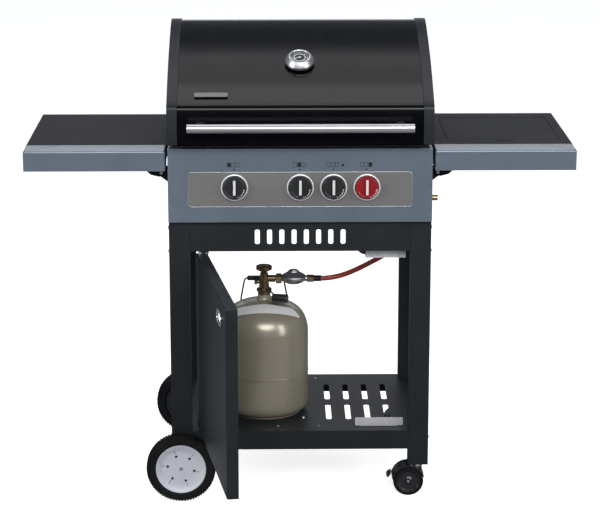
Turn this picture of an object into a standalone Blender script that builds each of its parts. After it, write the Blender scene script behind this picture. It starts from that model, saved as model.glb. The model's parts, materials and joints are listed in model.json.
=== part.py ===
"""Gas barbecue grill on a wheeled cart, with a hinged lid, folding side shelves, a side burner and its gas cylinder.

Units are metres. +X is the cook's right, +Y points to the back and +Z is up. The origin lies on the floor,
under the middle of the whole object. Every piece is drawn in the cook frame, where Y = 0 is the front of the
control panel, and the empty named grill moves that frame to the origin.
"""

from math import cos, pi, radians, sin

import bmesh
import bpy
from mathutils import Matrix, Vector

# Driving dimensions
FRONT_Y = -0.0317  # control panel front, from the middle of the object
GAP = 0.0003  # between pieces that touch
SHEET = 0.0015  # folded steel sheet

HALF_WIDTH = 0.326  # control panel, cart and lid, from the middle
LEG_WIDTH, LEG_DEPTH = 0.051, 0.038
LEG_TOP = {"front": 0.7187, "rear": 0.6995}
LEG_FRONT_Y, LEG_BACK_Y = 0.0126, 0.4946
LEG_BOTTOM = {"left": 0.062, "right": 0.081}

SHELF_REACH = 0.680  # outer end of a side shelf
SHELF_IN = 0.332
SHELF_TOP, SHELF_BACK_Y = 0.900, 0.508
FASCIA_DEPTH, FASCIA_HEIGHT = 0.080, 0.050
FOLD_X, FOLD_Z, FOLD_PIN_R = 0.345, 0.829, 0.004

PANEL_LOW, PANEL_HIGH, PANEL_DEPTH = 0.719, 0.907, 0.045
KNOB_X = (-0.162, 0.0, 0.082, 0.164)
KNOB_Z, KNOB_R, KNOB_DEPTH = 0.809, 0.029, 0.0265
BEZEL_R = 0.0333

BEAM_LOW = 0.6436
VENT_PITCH, VENT_WIDTH, VENT_HEIGHT, VENT_COUNT = 0.0304, 0.0124, 0.037, 8

FLOOR_TOP, FLOOR_SKIRT = 0.1734, 0.124  # bottom shelf and the lower edge of its front skirt
FLOOR_SLOT_X = (0.0758, 0.1262, 0.1765, 0.2270)

BOX_HALF, BOX_FRONT_Y, BOX_BACK_Y = 0.312, 0.070, 0.480  # firebox
BOX_LOW, BOX_HIGH = 0.700, 0.918
BURNER_X, BURNER_Z = (-0.19, 0.0, 0.19), 0.800
GRATE_Z = 0.885

LID_SKIN_HALF, LID_PIVOT = 0.2995, (0.0, 0.478, 0.938)
LID_PROFILE = (  # (Y, Z) of the lid's outside, from the front edge over the top to the back edge
    (-0.040, 0.922), (-0.035, 1.008), (-0.027, 1.019), (-0.009, 1.030), (0.049, 1.067), (0.120, 1.105),
    (0.214, 1.144), (0.285, 1.168), (0.330, 1.1785), (0.370, 1.175), (0.405, 1.158), (0.437, 1.126),
    (0.461, 1.085), (0.479, 1.035), (0.489, 0.985), (0.494, 0.928),
)
HANDLE_Y, HANDLE_Z, HANDLE_R, HANDLE_HALF = -0.085, 0.972, 0.011, 0.276
GAUGE_CENTRE, GAUGE_TILT = (0.0, 0.110, 1.1015), 62.0

DOOR_PIN = (-0.250, 0.0206)  # X and Y of the door's hinge
DOOR_X, DOOR_Y, DOOR_Z = (-0.2667, 0.2673), (0.0126, 0.0406), (0.177, 0.634)
DOOR_OPEN = 81.0  # degrees, as it stands at rest
GRIP_X, GRIP_Z, GRIP_LENGTH, GRIP_HEIGHT = 0.169, 0.588, 0.070, 0.034

WHEEL_X, WHEEL_R, WHEEL_FRONT_Y, WHEEL_BACK_Y, WHEEL_WIDTH = -0.302, 0.0875, -0.035, 0.512, 0.043
AXLE_R = 0.005
CASTER_X, CASTER_TRAIL, CASTER_R, CASTER_HALF_WIDTH = 0.300, 0.024, 0.0385, 0.028

CYLINDER_X, CYLINDER_Y, CYLINDER_R = -0.0905, 0.202, 0.114
OUTLET_Z = 0.524
HOSE_R = 0.0064
HOSE_ROUTE = (  # from the regulator's outlet to the manifold's inlet
    (0.0574, 0.202, 0.524), (0.068, 0.202, 0.5243), (0.091, 0.2017, 0.5275), (0.116, 0.2005, 0.5345),
    (0.143, 0.198, 0.546), (0.168, 0.194, 0.5595), (0.190, 0.186, 0.5735), (0.210, 0.174, 0.588),
    (0.227, 0.157, 0.604), (0.241, 0.137, 0.620), (0.2515, 0.115, 0.6365), (0.258, 0.093, 0.654),
    (0.2612, 0.075, 0.673), (0.262, 0.0627, 0.6945), (0.262, 0.0575, 0.714), (0.262, 0.0570, 0.7222),
    (0.262, 0.0570, 0.7312),
)


# The scene and its finishes


def clear_scene():
    for obj in list(bpy.data.objects):
        bpy.data.objects.remove(obj, do_unlink=True)


def group(name):
    made = bpy.data.collections.new(name)
    bpy.context.scene.collection.children.link(made)
    return made


def finish(name, colour, roughness, metallic=0.0):
    made = bpy.data.materials.new(name)
    made.use_nodes = True
    shader = made.node_tree.nodes["Principled BSDF"]
    shader.inputs["Base Color"].default_value = (*colour, 1.0)
    shader.inputs["Roughness"].default_value = roughness
    shader.inputs["Metallic"].default_value = metallic
    made.diffuse_color = (*colour, 1.0)
    return made


def empty(name, point=(0, 0, 0), parent=None, turn=0.0):
    """A pivot at a point of the cook frame, which its pieces are hung on."""
    made = bpy.data.objects.new(name, None)
    PARTS.objects.link(made)
    made["point"] = tuple(point)
    base = Vector(parent["point"]) if parent else Vector()
    made.parent = parent
    made.location = Vector(point) - base
    made.rotation_euler.z = radians(turn)
    return made


def hang(obj, pivot):
    """Hangs a piece, and the shapes that cut or extend it, on a pivot. All stay where they were drawn."""
    for piece in [obj] + [modifier.object for modifier in obj.modifiers if modifier.type == "BOOLEAN"]:
        piece.parent = pivot
        piece.location = piece.location - Vector(pivot["point"])
    return obj


# Shapes


def add(name, mesh, look, smooth=False):
    """A piece, or with no look a helper shape that only cuts or extends a piece."""
    made = bpy.data.objects.new(name, mesh)
    if look is None:
        HELPERS.objects.link(made)
        made.hide_render = True
        made.display_type = "WIRE"
    else:
        PARTS.objects.link(made)
        mesh.materials.append(look)
    if smooth:
        mesh.shade_smooth()
        mesh.set_sharp_from_angle(angle=radians(35))
    return made


def mesh_of(name, bm):
    mesh = bpy.data.meshes.new(name)
    bm.to_mesh(mesh)
    bm.free()
    return mesh


def add_cube(bm, low, high):
    size = [b - a for a, b in zip(low, high)]
    middle = [(a + b) / 2 for a, b in zip(low, high)]
    place = Matrix.Translation(middle) @ Matrix.Diagonal((*size, 1.0))
    return bmesh.ops.create_cube(bm, size=1.0, matrix=place)["verts"]


def box(name, low, high, look=None):
    bm = bmesh.new()
    add_cube(bm, low, high)
    return add(name, mesh_of(name, bm), look)


def boxes(name, corners, look=None):
    bm = bmesh.new()
    for low, high in corners:
        add_cube(bm, low, high)
    return add(name, mesh_of(name, bm), look)


def pan(name, low, high, open_sides, look, wall=SHEET):
    """A folded sheet box, with the sides whose outward directions are named left open."""
    bm = bmesh.new()
    add_cube(bm, low, high)
    gone = [face for face in bm.faces if any(face.normal.dot(Vector(side)) > 0.9 for side in open_sides)]
    bmesh.ops.delete(bm, geom=gone, context="FACES")
    made = add(name, mesh_of(name, bm), look)
    shell = made.modifiers.new("wall", "SOLIDIFY")
    shell.thickness = wall
    shell.offset = -1.0
    shell.use_even_offset = True
    return made


DIRECTIONS = {
    "X": Matrix(((0, 0, 1, 0), (1, 0, 0, 0), (0, 1, 0, 0), (0, 0, 0, 1))),  # outline in Y and Z
    "Y": Matrix(((1, 0, 0, 0), (0, 0, 1, 0), (0, 1, 0, 0), (0, 0, 0, 1))),  # outline in X and Z
    "Z": Matrix.Identity(4),  # outline in X and Y
}


def slab(name, direction, start, end, outlines, look=None, smooth=False):
    """A flat outline, with any holes in it, given thickness from start to end along X, Y or Z."""
    curve = bpy.data.curves.new(name, "CURVE")
    curve.dimensions = "2D"
    curve.fill_mode = "BOTH"
    curve.extrude = (end - start) / 2
    for outline in outlines:
        spline = curve.splines.new("POLY")
        spline.points.add(len(outline) - 1)
        spline.use_cyclic_u = True
        for point, (u, v) in zip(spline.points, outline):
            point.co = (u, v, 0, 1)
    drawn = bpy.data.objects.new(name + "_outline", curve)
    HELPERS.objects.link(drawn)
    bpy.context.view_layer.update()
    mesh = bpy.data.meshes.new_from_object(drawn.evaluated_get(bpy.context.evaluated_depsgraph_get()))
    bpy.data.objects.remove(drawn, do_unlink=True)
    bpy.data.curves.remove(curve)
    mesh.name = name
    mesh.materials.clear()
    bm = bmesh.new()
    bm.from_mesh(mesh)
    bmesh.ops.remove_doubles(bm, verts=bm.verts, dist=1e-6)
    bmesh.ops.translate(bm, verts=bm.verts, vec=(0, 0, (start + end) / 2))
    bmesh.ops.transform(bm, matrix=DIRECTIONS[direction], verts=bm.verts)
    bmesh.ops.recalc_face_normals(bm, faces=bm.faces)
    bm.to_mesh(mesh)
    bm.free()
    return add(name, mesh, look, smooth)


def rectangle(low_u, low_v, high_u, high_v):
    return [(low_u, low_v), (high_u, low_v), (high_u, high_v), (low_u, high_v)]


def arc(centre_u, centre_v, radius, first, last, steps):
    angles = [radians(first + (last - first) * step / steps) for step in range(steps + 1)]
    return [(centre_u + radius * cos(a), centre_v + radius * sin(a)) for a in angles]


def circle(centre_u, centre_v, radius, steps=20):
    return arc(centre_u, centre_v, radius, 0, 360 - 360 / steps, steps - 1)


def rounded(low_u, low_v, high_u, high_v, radius, steps=3):
    corners = ((high_u, high_v, 0), (low_u, high_v, 90), (low_u, low_v, 180), (high_u, low_v, 270))
    points = []
    for u, v, angle in corners:
        inward_u = radius if u == low_u else -radius
        inward_v = radius if v == low_v else -radius
        points += arc(u + inward_u, v + inward_v, radius, angle, angle + 90, steps)
    return points


TURNS = {"Z": (0, 0, 0), "Y": (-pi / 2, 0, 0), "X": (0, pi / 2, 0), "-Y": (pi / 2, 0, 0)}


def turned(name, centre, axis, profile, look=None, steps=24, closed=False):
    """A profile of (radius, height) points, listed from the top down its outer side, turned about an axis."""
    mesh = bpy.data.meshes.new(name)
    edges = [(i, i + 1) for i in range(len(profile) - 1)] + ([(len(profile) - 1, 0)] if closed else [])
    mesh.from_pydata([(radius, 0, height) for radius, height in profile], edges, [])
    made = add(name, mesh, look)
    made.location = centre
    made.rotation_euler = TURNS[axis]
    screw = made.modifiers.new("turn", "SCREW")
    screw.steps = screw.render_steps = steps
    screw.use_merge_vertices = True
    screw.merge_threshold = 0.00001
    screw.use_smooth_shade = True
    return made


def rod(name, centre, axis, radius, length, look=None, steps=16):
    """A plain round bar that starts at centre and runs along the axis."""
    return turned(name, centre, axis, [(0, length), (radius, length), (radius, 0), (0, 0)], look, steps)


def change(obj, others, operation):
    for other in others:
        modifier = obj.modifiers.new(other.name, "BOOLEAN")
        modifier.operation = operation
        modifier.object = other
        modifier.solver = "EXACT"
    return obj


def cut(obj, *others):
    return change(obj, others, "DIFFERENCE")


def join(obj, *others):
    return change(obj, others, "UNION")


def smooth_route(points, per_span):
    """Points of a smooth curve through the given points, with straight ends."""
    route = [Vector(point) for point in points]
    padded = [2 * route[0] - route[1], *route, 2 * route[-1] - route[-2]]
    made = []
    for i in range(1, len(padded) - 2):
        a, b, c, d = padded[i - 1 : i + 3]
        for step in range(per_span):
            t = step / per_span
            made.append(0.5 * (2 * b + (c - a) * t + (2 * a - 5 * b + 4 * c - d) * t**2 + (3 * b - a - 3 * c + d) * t**3))
    return made + [route[-1]]


def tube(name, points, radius, look, resolution=2):
    curve = bpy.data.curves.new(name, "CURVE")
    curve.dimensions = "3D"
    curve.bevel_depth = radius
    curve.bevel_resolution = resolution
    curve.use_fill_caps = True
    spline = curve.splines.new("POLY")
    spline.points.add(len(points) - 1)
    for point, place in zip(spline.points, points):
        point.co = (*place, 1)
    made = bpy.data.objects.new(name, curve)
    PARTS.objects.link(made)
    curve.materials.append(look)
    return made


def tube_mesh(name, points, radius, look=None, resolution=2):
    """The same tube as a mesh, for a piece that is cut or joined."""
    drawn = tube(name + "_line", points, radius, PAINT, resolution)
    bpy.context.view_layer.update()
    mesh = bpy.data.meshes.new_from_object(drawn.evaluated_get(bpy.context.evaluated_depsgraph_get()))
    bpy.data.objects.remove(drawn, do_unlink=True)
    mesh.materials.clear()
    bm = bmesh.new()
    bm.from_mesh(mesh)
    bmesh.ops.remove_doubles(bm, verts=bm.verts, dist=1e-6)
    bmesh.ops.recalc_face_normals(bm, faces=bm.faces)
    bm.to_mesh(mesh)
    bm.free()
    return add(name, mesh, look, smooth=True)


SIDES = (("left", -1), ("right", 1))


def across(side, near, far):
    """The lower and higher X of a stretch that runs outwards from the middle on one side."""
    return (near, far) if side > 0 else (-far, -near)


# The cart


def make_legs():
    near, far = HALF_WIDTH - GAP - LEG_WIDTH, HALF_WIDTH - GAP
    for word, side in SIDES:
        low, high = across(side, near, far)
        for place, web, tip in (
            ("front", LEG_FRONT_Y, LEG_FRONT_Y + LEG_DEPTH),
            ("rear", LEG_BACK_Y, LEG_BACK_Y - LEG_DEPTH),
        ):
            wall = SHEET if tip > web else -SHEET
            outline = [
                (low, web), (high, web), (high, tip), (high - SHEET, tip),
                (high - SHEET, web + wall), (low + SHEET, web + wall), (low + SHEET, tip), (low, tip),
            ]
            name = f"leg_{place}_{word}"
            leg = slab(name, "Z", LEG_BOTTOM[word], LEG_TOP[place], [outline], PAINT)
            if side < 0:
                cut(leg, rod(name + "_hole", (WHEEL_X, min(web, tip) - 0.01, WHEEL_R), "Y", AXLE_R + GAP, 0.06))
            hang(leg, GRILL)


def make_beams():
    half = HALF_WIDTH - GAP - LEG_WIDTH - GAP
    low, high = LEG_FRONT_Y, LEG_FRONT_Y + 0.0174
    beam = pan("front_beam", (-half, low, BEAM_LOW), (half, high, LEG_TOP["front"]), [(0, 1, 0)], PAINT)
    first = -VENT_PITCH * (VENT_COUNT - 1) / 2
    middle = (BEAM_LOW + LEG_TOP["front"]) / 2 - 0.0005
    vents = [
        slab(
            f"vent_{i}", "Y", low - 0.01, low + 0.01,
            [rounded(
                first + i * VENT_PITCH - VENT_WIDTH / 2, middle - VENT_HEIGHT / 2,
                first + i * VENT_PITCH + VENT_WIDTH / 2, middle + VENT_HEIGHT / 2, 0.004, 2,
            )],
        )
        for i in range(VENT_COUNT)
    ]
    hang(cut(beam, *vents), GRILL)
    back = (-half, LEG_BACK_Y - 0.0174, 0.600), (half, LEG_BACK_Y, 0.668)
    hang(pan("rear_beam", *back, [(0, -1, 0)], PAINT), GRILL)


def make_bottom_shelf():
    inner = HALF_WIDTH - GAP - LEG_WIDTH - GAP
    outer, leg_end = 0.298, LEG_FRONT_Y + LEG_DEPTH + GAP
    leg_start = LEG_BACK_Y - LEG_DEPTH - GAP
    slots = [
        rounded(x - 0.00725, low, x + 0.00725, high, 0.004, 1)
        for x in FLOOR_SLOT_X
        for low, high in ((0.105, 0.228), (0.271, 0.4015))
    ]
    whole = rectangle(-outer, LEG_FRONT_Y, outer, LEG_BACK_Y)
    plate = slab("bottom_shelf", "Z", FLOOR_TOP - 0.002, FLOOR_TOP, [whole, *slots], PAINT)
    corners = [
        box(
            f"corner_{i}",
            (min(side * inner, side * 0.32), low, FLOOR_TOP - 0.01),
            (max(side * inner, side * 0.32), high, FLOOR_TOP + 0.01),
        )
        for i, (side, low, high) in enumerate(
            (side, low, high) for side in (-1, 1) for low, high in ((0, leg_end), (leg_start, 0.6))
        )
    ]
    edge, skirt_top = 0.0002, FLOOR_TOP - 0.0009
    near, far = LEG_FRONT_Y + edge, LEG_BACK_Y - edge
    skirts = [
        box("skirt_front", (edge - inner, near, FLOOR_SKIRT), (inner - edge, near + SHEET, skirt_top)),
        box("skirt_rear", (edge - inner, far - SHEET, FLOOR_SKIRT), (inner - edge, far, skirt_top)),
        box("skirt_left", (edge - outer, leg_end + edge, FLOOR_SKIRT), (SHEET - outer, leg_start - edge, skirt_top)),
        box("skirt_right", (outer - SHEET, leg_end + edge, FLOOR_SKIRT), (outer - edge, leg_start - edge, skirt_top)),
    ]
    hang(join(cut(plate, *corners), *skirts), GRILL)


def make_side_panels():
    leg_end, leg_start = LEG_FRONT_Y + LEG_DEPTH + GAP, LEG_BACK_Y - LEG_DEPTH - GAP
    top, low = 0.905, 0.620
    for word, side in SIDES:
        near, far = across(side, 0.3225, 0.3245)
        panel = box(f"side_panel_{word}", (near, PANEL_DEPTH + GAP, low), (far, LEG_BACK_Y, top), PAINT)
        notches = [
            box(f"leg_notch_front_{word}", (near - 0.01, 0, low - 0.01), (far + 0.01, leg_end, LEG_TOP["front"] + GAP)),
            box(f"leg_notch_rear_{word}", (near - 0.01, leg_start, low - 0.01), (far + 0.01, 0.6, LEG_TOP["rear"] + GAP)),
        ]
        ears = []
        for end, low_y in (("front", 0.0893), ("rear", 0.4385)):
            ear = [(side * x, z) for x, z in ((0.3235, 0.800), (0.352, 0.821), (0.352, 0.838), (0.3235, 0.848))]
            hole = circle(side * FOLD_X, FOLD_Z, FOLD_PIN_R + GAP, 12)
            ears.append(slab(f"ear_{end}_{word}", "Y", low_y, low_y + 0.003, [ear, hole]))
        hang(join(cut(panel, *notches), *ears), GRILL)


# The wheels


def make_wheels():
    length = WHEEL_BACK_Y + WHEEL_WIDTH - WHEEL_FRONT_Y - 0.012
    hang(rod("wheel_axle", (WHEEL_X, WHEEL_FRONT_Y + 0.006, WHEEL_R), "Y", AXLE_R, length, ZINC), GRILL)
    half = WHEEL_WIDTH / 2
    tread = 0.064
    for word, start, axis in (("front", WHEEL_FRONT_Y, "Y"), ("rear", WHEEL_BACK_Y, "-Y")):
        middle = (WHEEL_X, start + half, WHEEL_R)
        pivot = empty(f"wheel_{word}", middle, GRILL)
        tyre = [
            (WHEEL_R - 0.007, half), (WHEEL_R, half - 0.008), (WHEEL_R, 0.008 - half),
            (WHEEL_R - 0.007, -half), (tread, -half), (tread, half),
        ]
        hang(turned(f"tyre_{word}", middle, axis, tyre, RUBBER, 36, True), pivot)
        bore, rim = AXLE_R + GAP, tread - GAP
        disc = [
            (0, 0.0045 - half), (bore, 0.0045 - half), (bore, half - 0.002), (0.016, half - 0.002),
            (0.016, half - 0.010), (rim, half - 0.010), (rim, 0.004 - half), (0.040, 0.001 - half),
            (0, 0.0005 - half),
        ]
        hang(turned(f"wheel_disc_{word}", middle, axis, disc, HUB, 24), pivot)


def make_casters():
    leg_middles = {"front": LEG_FRONT_Y + LEG_DEPTH / 2, "rear": LEG_BACK_Y - LEG_DEPTH / 2}
    hub_x = CASTER_X - CASTER_TRAIL
    for word, middle_y in leg_middles.items():
        swivel = empty(f"caster_{word}", (CASTER_X, middle_y, LEG_BOTTOM["right"]), GRILL)
        hub = empty(f"caster_hub_{word}", (hub_x, middle_y, CASTER_R), swivel)
        web_half, hub_r = 0.007, 0.010
        cover = arc(hub_x, CASTER_R, 0.0418, 15, 172, 10) + arc(hub_x, CASTER_R, 0.0395, 172, 15, 10)
        web = [
            (CASTER_X + 0.011, 0.0785), (CASTER_X + 0.011, 0.058), (hub_x + 0.018, 0.028), (hub_x - 0.010, 0.024),
            (hub_x - 0.018, 0.040), (hub_x - 0.0425, 0.0520), (hub_x - 0.0425, 0.0580), (hub_x - 0.028, 0.0690), (hub_x, 0.0795),
        ]
        hood = slab(
            f"caster_hood_{word}", "Y", middle_y - web_half, middle_y + web_half,
            [web, circle(hub_x, CASTER_R, hub_r + GAP, 16)], BLACK_PLASTIC,
        )
        shell = slab(f"cover_{word}", "Y", middle_y - 0.027, middle_y + 0.027, [cover])
        stem = rod(f"stem_{word}", (CASTER_X, middle_y, 0.074), "Z", 0.0055, 0.036)
        hang(join(hood, shell, stem), swivel)
        r, w = CASTER_R, CASTER_HALF_WIDTH
        spool = [
            (0, w - 0.002), (0.026, w), (r - 0.003, w - 0.001), (r, w - 0.004), (r, web_half + 0.001),
            (hub_r, web_half + 0.001), (hub_r, -web_half - 0.001), (r, -web_half - 0.001), (r, 0.004 - w),
            (r - 0.003, 0.001 - w), (0.026, -w), (0, 0.002 - w),
        ]
        hang(turned(f"caster_wheel_{word}", (hub_x, middle_y, CASTER_R), "-Y", spool, BLACK_PLASTIC, 24), hub)
        pedal_pin = (hub_x - 0.0405, 0.0555)
        pedal = [
            (pedal_pin[0] - 0.003, 0.0605), (pedal_pin[0] - 0.013, 0.0545), (pedal_pin[0] - 0.0155, 0.048),
            (pedal_pin[0] - 0.0115, 0.0435), (pedal_pin[0] - 0.008, 0.047), (pedal_pin[0] - 0.0035, 0.0535),
        ]
        tilt = empty(f"caster_pedal_{word}", (pedal_pin[0], middle_y, pedal_pin[1]), swivel)
        brake = slab(f"caster_brake_{word}", "Y", middle_y - 0.013, middle_y + 0.013, [pedal], BLACK_PLASTIC)
        hang(brake, tilt)


# The control panel, its knobs and the gas rail


def make_control_panel():
    low, high = (-HALF_WIDTH, 0, PANEL_LOW), (HALF_WIDTH, PANEL_DEPTH, PANEL_HIGH)
    panel = pan("control_panel", low, high, [(0, 1, 0)], BLUE_GREY)
    holes = [rod(f"stem_hole_{i}", (x, -0.01, KNOB_Z), "Y", 0.007, 0.02, None, 12) for i, x in enumerate(KNOB_X)]
    side_hole = rod("rail_hole", (HALF_WIDTH - 0.01, 0.030, 0.775), "X", 0.0085, 0.02, None, 12)
    hang(cut(panel, *holes, side_hole), GRILL)
    outline = rounded(-0.276, 0.7605, 0.276, 0.847, 0.007)
    holes = [circle(x, KNOB_Z, 0.007, 12) for x in KNOB_X]
    inset = slab("control_inset", "Y", -0.0013, -GAP, [outline, *holes], STEEL)
    rings = [
        slab(f"bezel_{i}", "Y", -0.0065, -0.0009, [circle(x, KNOB_Z, BEZEL_R, 20), circle(x, KNOB_Z, 0.0298, 20)])
        for i, x in enumerate(KNOB_X)
    ]
    hang(join(inset, *rings), GRILL)


def make_knobs():
    for i, x in enumerate(KNOB_X):
        pivot = empty(f"knob_axis_{i + 1}", (x, 0, KNOB_Z), GRILL)
        base, face = 0.0068, 0.0200
        profile = [
            (0, face), (0.0255, face), (0.0272, face - 0.002), (KNOB_R, base + 0.004), (KNOB_R, base),
            (0.0035, base), (0.0035, -0.0115), (0, -0.0115),
        ]
        look = RED if i == len(KNOB_X) - 1 else BLACK_PLASTIC
        knob = turned(f"knob_{i + 1}", (x, 0, KNOB_Z), "-Y", profile, look)
        grip = box(f"grip_{i + 1}", (x - 0.0065, -KNOB_DEPTH, KNOB_Z - 0.024), (x + 0.0065, -face + 0.001, KNOB_Z + 0.024))
        hang(join(knob, grip), pivot)


def make_gas_rail():
    rail_y, rail_z, inlet_x, inlet_y = 0.030, 0.775, HOSE_ROUTE[-1][0], HOSE_ROUTE[-1][1]
    rail = rod("gas_manifold", (-0.190, rail_y, rail_z), "X", 0.007, 0.190 + 0.341, BRASS, 12)
    blocks = [box(f"valve_{i}", (x - 0.011, 0.012, 0.771), (x + 0.011, 0.042, 0.822)) for i, x in enumerate(KNOB_X)]
    arm = box("inlet_arm", (inlet_x - 0.008, rail_y, rail_z - 0.0075), (inlet_x + 0.008, inlet_y + 0.008, rail_z + 0.0075))
    drop = rod("inlet_drop", (inlet_x, inlet_y, HOSE_ROUTE[-1][2] + GAP), "Z", 0.0078, 0.045, None, 12)
    hang(join(rail, *blocks, arm, drop), GRILL)


# The firebox and what lies in it


def make_firebox():
    low, high = (-BOX_HALF, BOX_FRONT_Y, BOX_LOW), (BOX_HALF, BOX_BACK_Y, BOX_HIGH)
    firebox = pan("firebox", low, high, [(0, 0, 1)], BLACK_STEEL, 0.002)
    lip = box("front_lip", (-BOX_HALF, -0.028, BOX_HIGH - 0.002), (BOX_HALF, BOX_FRONT_Y + 0.0015, BOX_HIGH))
    extras = [lip]
    for word, side in SIDES:
        near, far = across(side, 0.290, BOX_HALF - 0.001)
        extras.append(box(f"ledge_{word}", (near, BOX_FRONT_Y + 0.001, 0.8787), (far, BOX_BACK_Y - 0.001, GRATE_Z - GAP)))
        near, far = across(side, 0.303, 0.306)
        ear = [(0.4795, 0.900), (0.4795, 0.915), (0.486, 0.930), (0.486, 0.945), (0.470, 0.945), (0.464, 0.930), (0.464, 0.900)]
        extras.append(slab(f"lid_ear_{word}", "X", near, far, [ear]))
        start = 0.304 if side > 0 else -0.3252
        extras.append(rod(f"lid_pin_{word}", (start, LID_PIVOT[1], LID_PIVOT[2]), "X", 0.004, 0.0212, None, 12))
        hook = [
            (side * 0.1402, 0.669), (side * 0.1530, 0.669), (side * 0.1530, BOX_LOW + 0.001),
            (side * 0.1515, BOX_LOW + 0.001), (side * 0.1515, 0.6705), (side * 0.1402, 0.6705),
        ]
        extras.append(slab(f"tray_guide_{word}", "Y", 0.150, 0.470, [hook]))
    join(firebox, *extras)
    mouths = [rod(f"burner_mouth_{i}", (x, BOX_FRONT_Y - 0.01, BURNER_Z), "Y", 0.0115, 0.02, None, 12) for i, x in enumerate(BURNER_X)]
    drain = box("drain", (-0.040, 0.245, BOX_LOW - 0.01), (0.040, 0.315, BOX_LOW + 0.01))
    hang(cut(firebox, *mouths, drain), GRILL)


def make_burners():
    for word, x in zip(("left", "middle", "right"), BURNER_X):
        length, wall = 0.395, 0.0015
        profile = [
            (0, length), (0.017, length), (0.017, 0.035), (0.010, 0.022), (0.010, 0),
            (0.010 - wall, 0), (0.010 - wall, 0.022), (0.017 - wall, 0.035), (0.017 - wall, length - wall), (0, length - wall),
        ]
        hang(turned(f"burner_{word}", (x, 0.060, BURNER_Z), "Y", profile, STEEL, 12), GRILL)
    ends = [box(f"tamer_end_{i}", (-0.298, low, 0.836), (0.298, low + 0.014, 0.838)) for i, low in enumerate((0.082, 0.454))]
    ridges = []
    for i, x in enumerate(BURNER_X):
        ridge = [
            (x - 0.040, 0.8368), (x, 0.8628), (x + 0.040, 0.8368), (x + 0.040, 0.8348), (x, 0.8608), (x - 0.040, 0.8348),
        ]
        ridges.append(slab(f"tamer_ridge_{i}", "Y", 0.080, 0.470, [ridge], STEEL if i == 0 else None))
    ridges[0].name = "flame_tamers"
    hang(join(ridges[0], *ends, *ridges[1:]), GRILL)


def make_grates():
    front, back, split = BOX_FRONT_Y + 0.0035, BOX_BACK_Y - 0.0035, 0.100
    left, right = -BOX_HALF + 0.0110, BOX_HALF - 0.0110  # clear of the lid's ears and the rack's feet
    count, bar = 13, 0.009
    pitch = (split - left - bar) / count
    middle = (front + back) / 2
    slots = [
        rectangle(left + bar + i * pitch, low, left + (i + 1) * pitch, high)
        for i in range(count)
        for low, high in ((front + 0.012, middle - 0.006), (middle + 0.006, back - 0.012))
    ]
    pivot = empty("grate_lift", (-0.105, middle, GRATE_Z), GRILL)
    outline = rectangle(left, front, split - 0.0006, back)
    hang(slab("cooking_grate", "Z", GRATE_Z, GRATE_Z + 0.009, [outline, *slots], CAST_IRON), pivot)
    pivot = empty("griddle_lift", (0.205, middle, GRATE_Z), GRILL)
    griddle = box("griddle_plate", (split + 0.0006, front, GRATE_Z), (right, back, GRATE_Z + 0.010), CAST_IRON)
    dish = box("griddle_dish", (split + 0.008, front + 0.008, GRATE_Z + 0.005), (right - 0.008, back - 0.020, GRATE_Z + 0.02))
    drain = slab("griddle_drain", "Z", GRATE_Z - 0.01, GRATE_Z + 0.02, [rounded(0.185, back - 0.034, 0.225, back - 0.024, 0.004, 1)])
    hang(cut(griddle, dish, drain), pivot)


def make_warming_rack():
    low, high, half, count = 0.335, 0.455, 0.3115, 11
    base, top, bar, middle = 0.985, 0.989, 0.007, 0.395
    pitch = (2 * half - bar) / count
    slots = [
        ((-half + bar + i * pitch, start, base - 0.01), (-half + (i + 1) * pitch, end, top + 0.01))
        for i in range(count)
        for start, end in ((low + 0.008, middle - 0.004), (middle + 0.004, high - 0.008))
    ]
    rack = box("warming_rack", (-half, low, base), (half, high, top), CHROME)
    feet = []
    for word, side in SIDES:
        near, far = across(side, half - 0.0035, half - 0.0005)
        feet.append(box(f"rack_foot_{word}", (near, 0.380, BOX_HIGH + GAP), (far, 0.410, top - 0.002)))
    hang(join(cut(rack, boxes("rack_slots", slots)), *feet), GRILL)


def make_grease_tray():
    pivot = empty("grease_tray_slide", (0, 0.155, 0.671), GRILL)
    tray = pan("grease_tray", (-0.150, 0.155, 0.6710), (0.150, 0.455, 0.6970), [(0, 0, 1)], ZINC, 0.001)
    pull = box("tray_pull", (-0.060, 0.4545, 0.6710), (0.060, 0.468, 0.6722))
    hang(join(tray, pull), pivot)


# The lid


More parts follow.
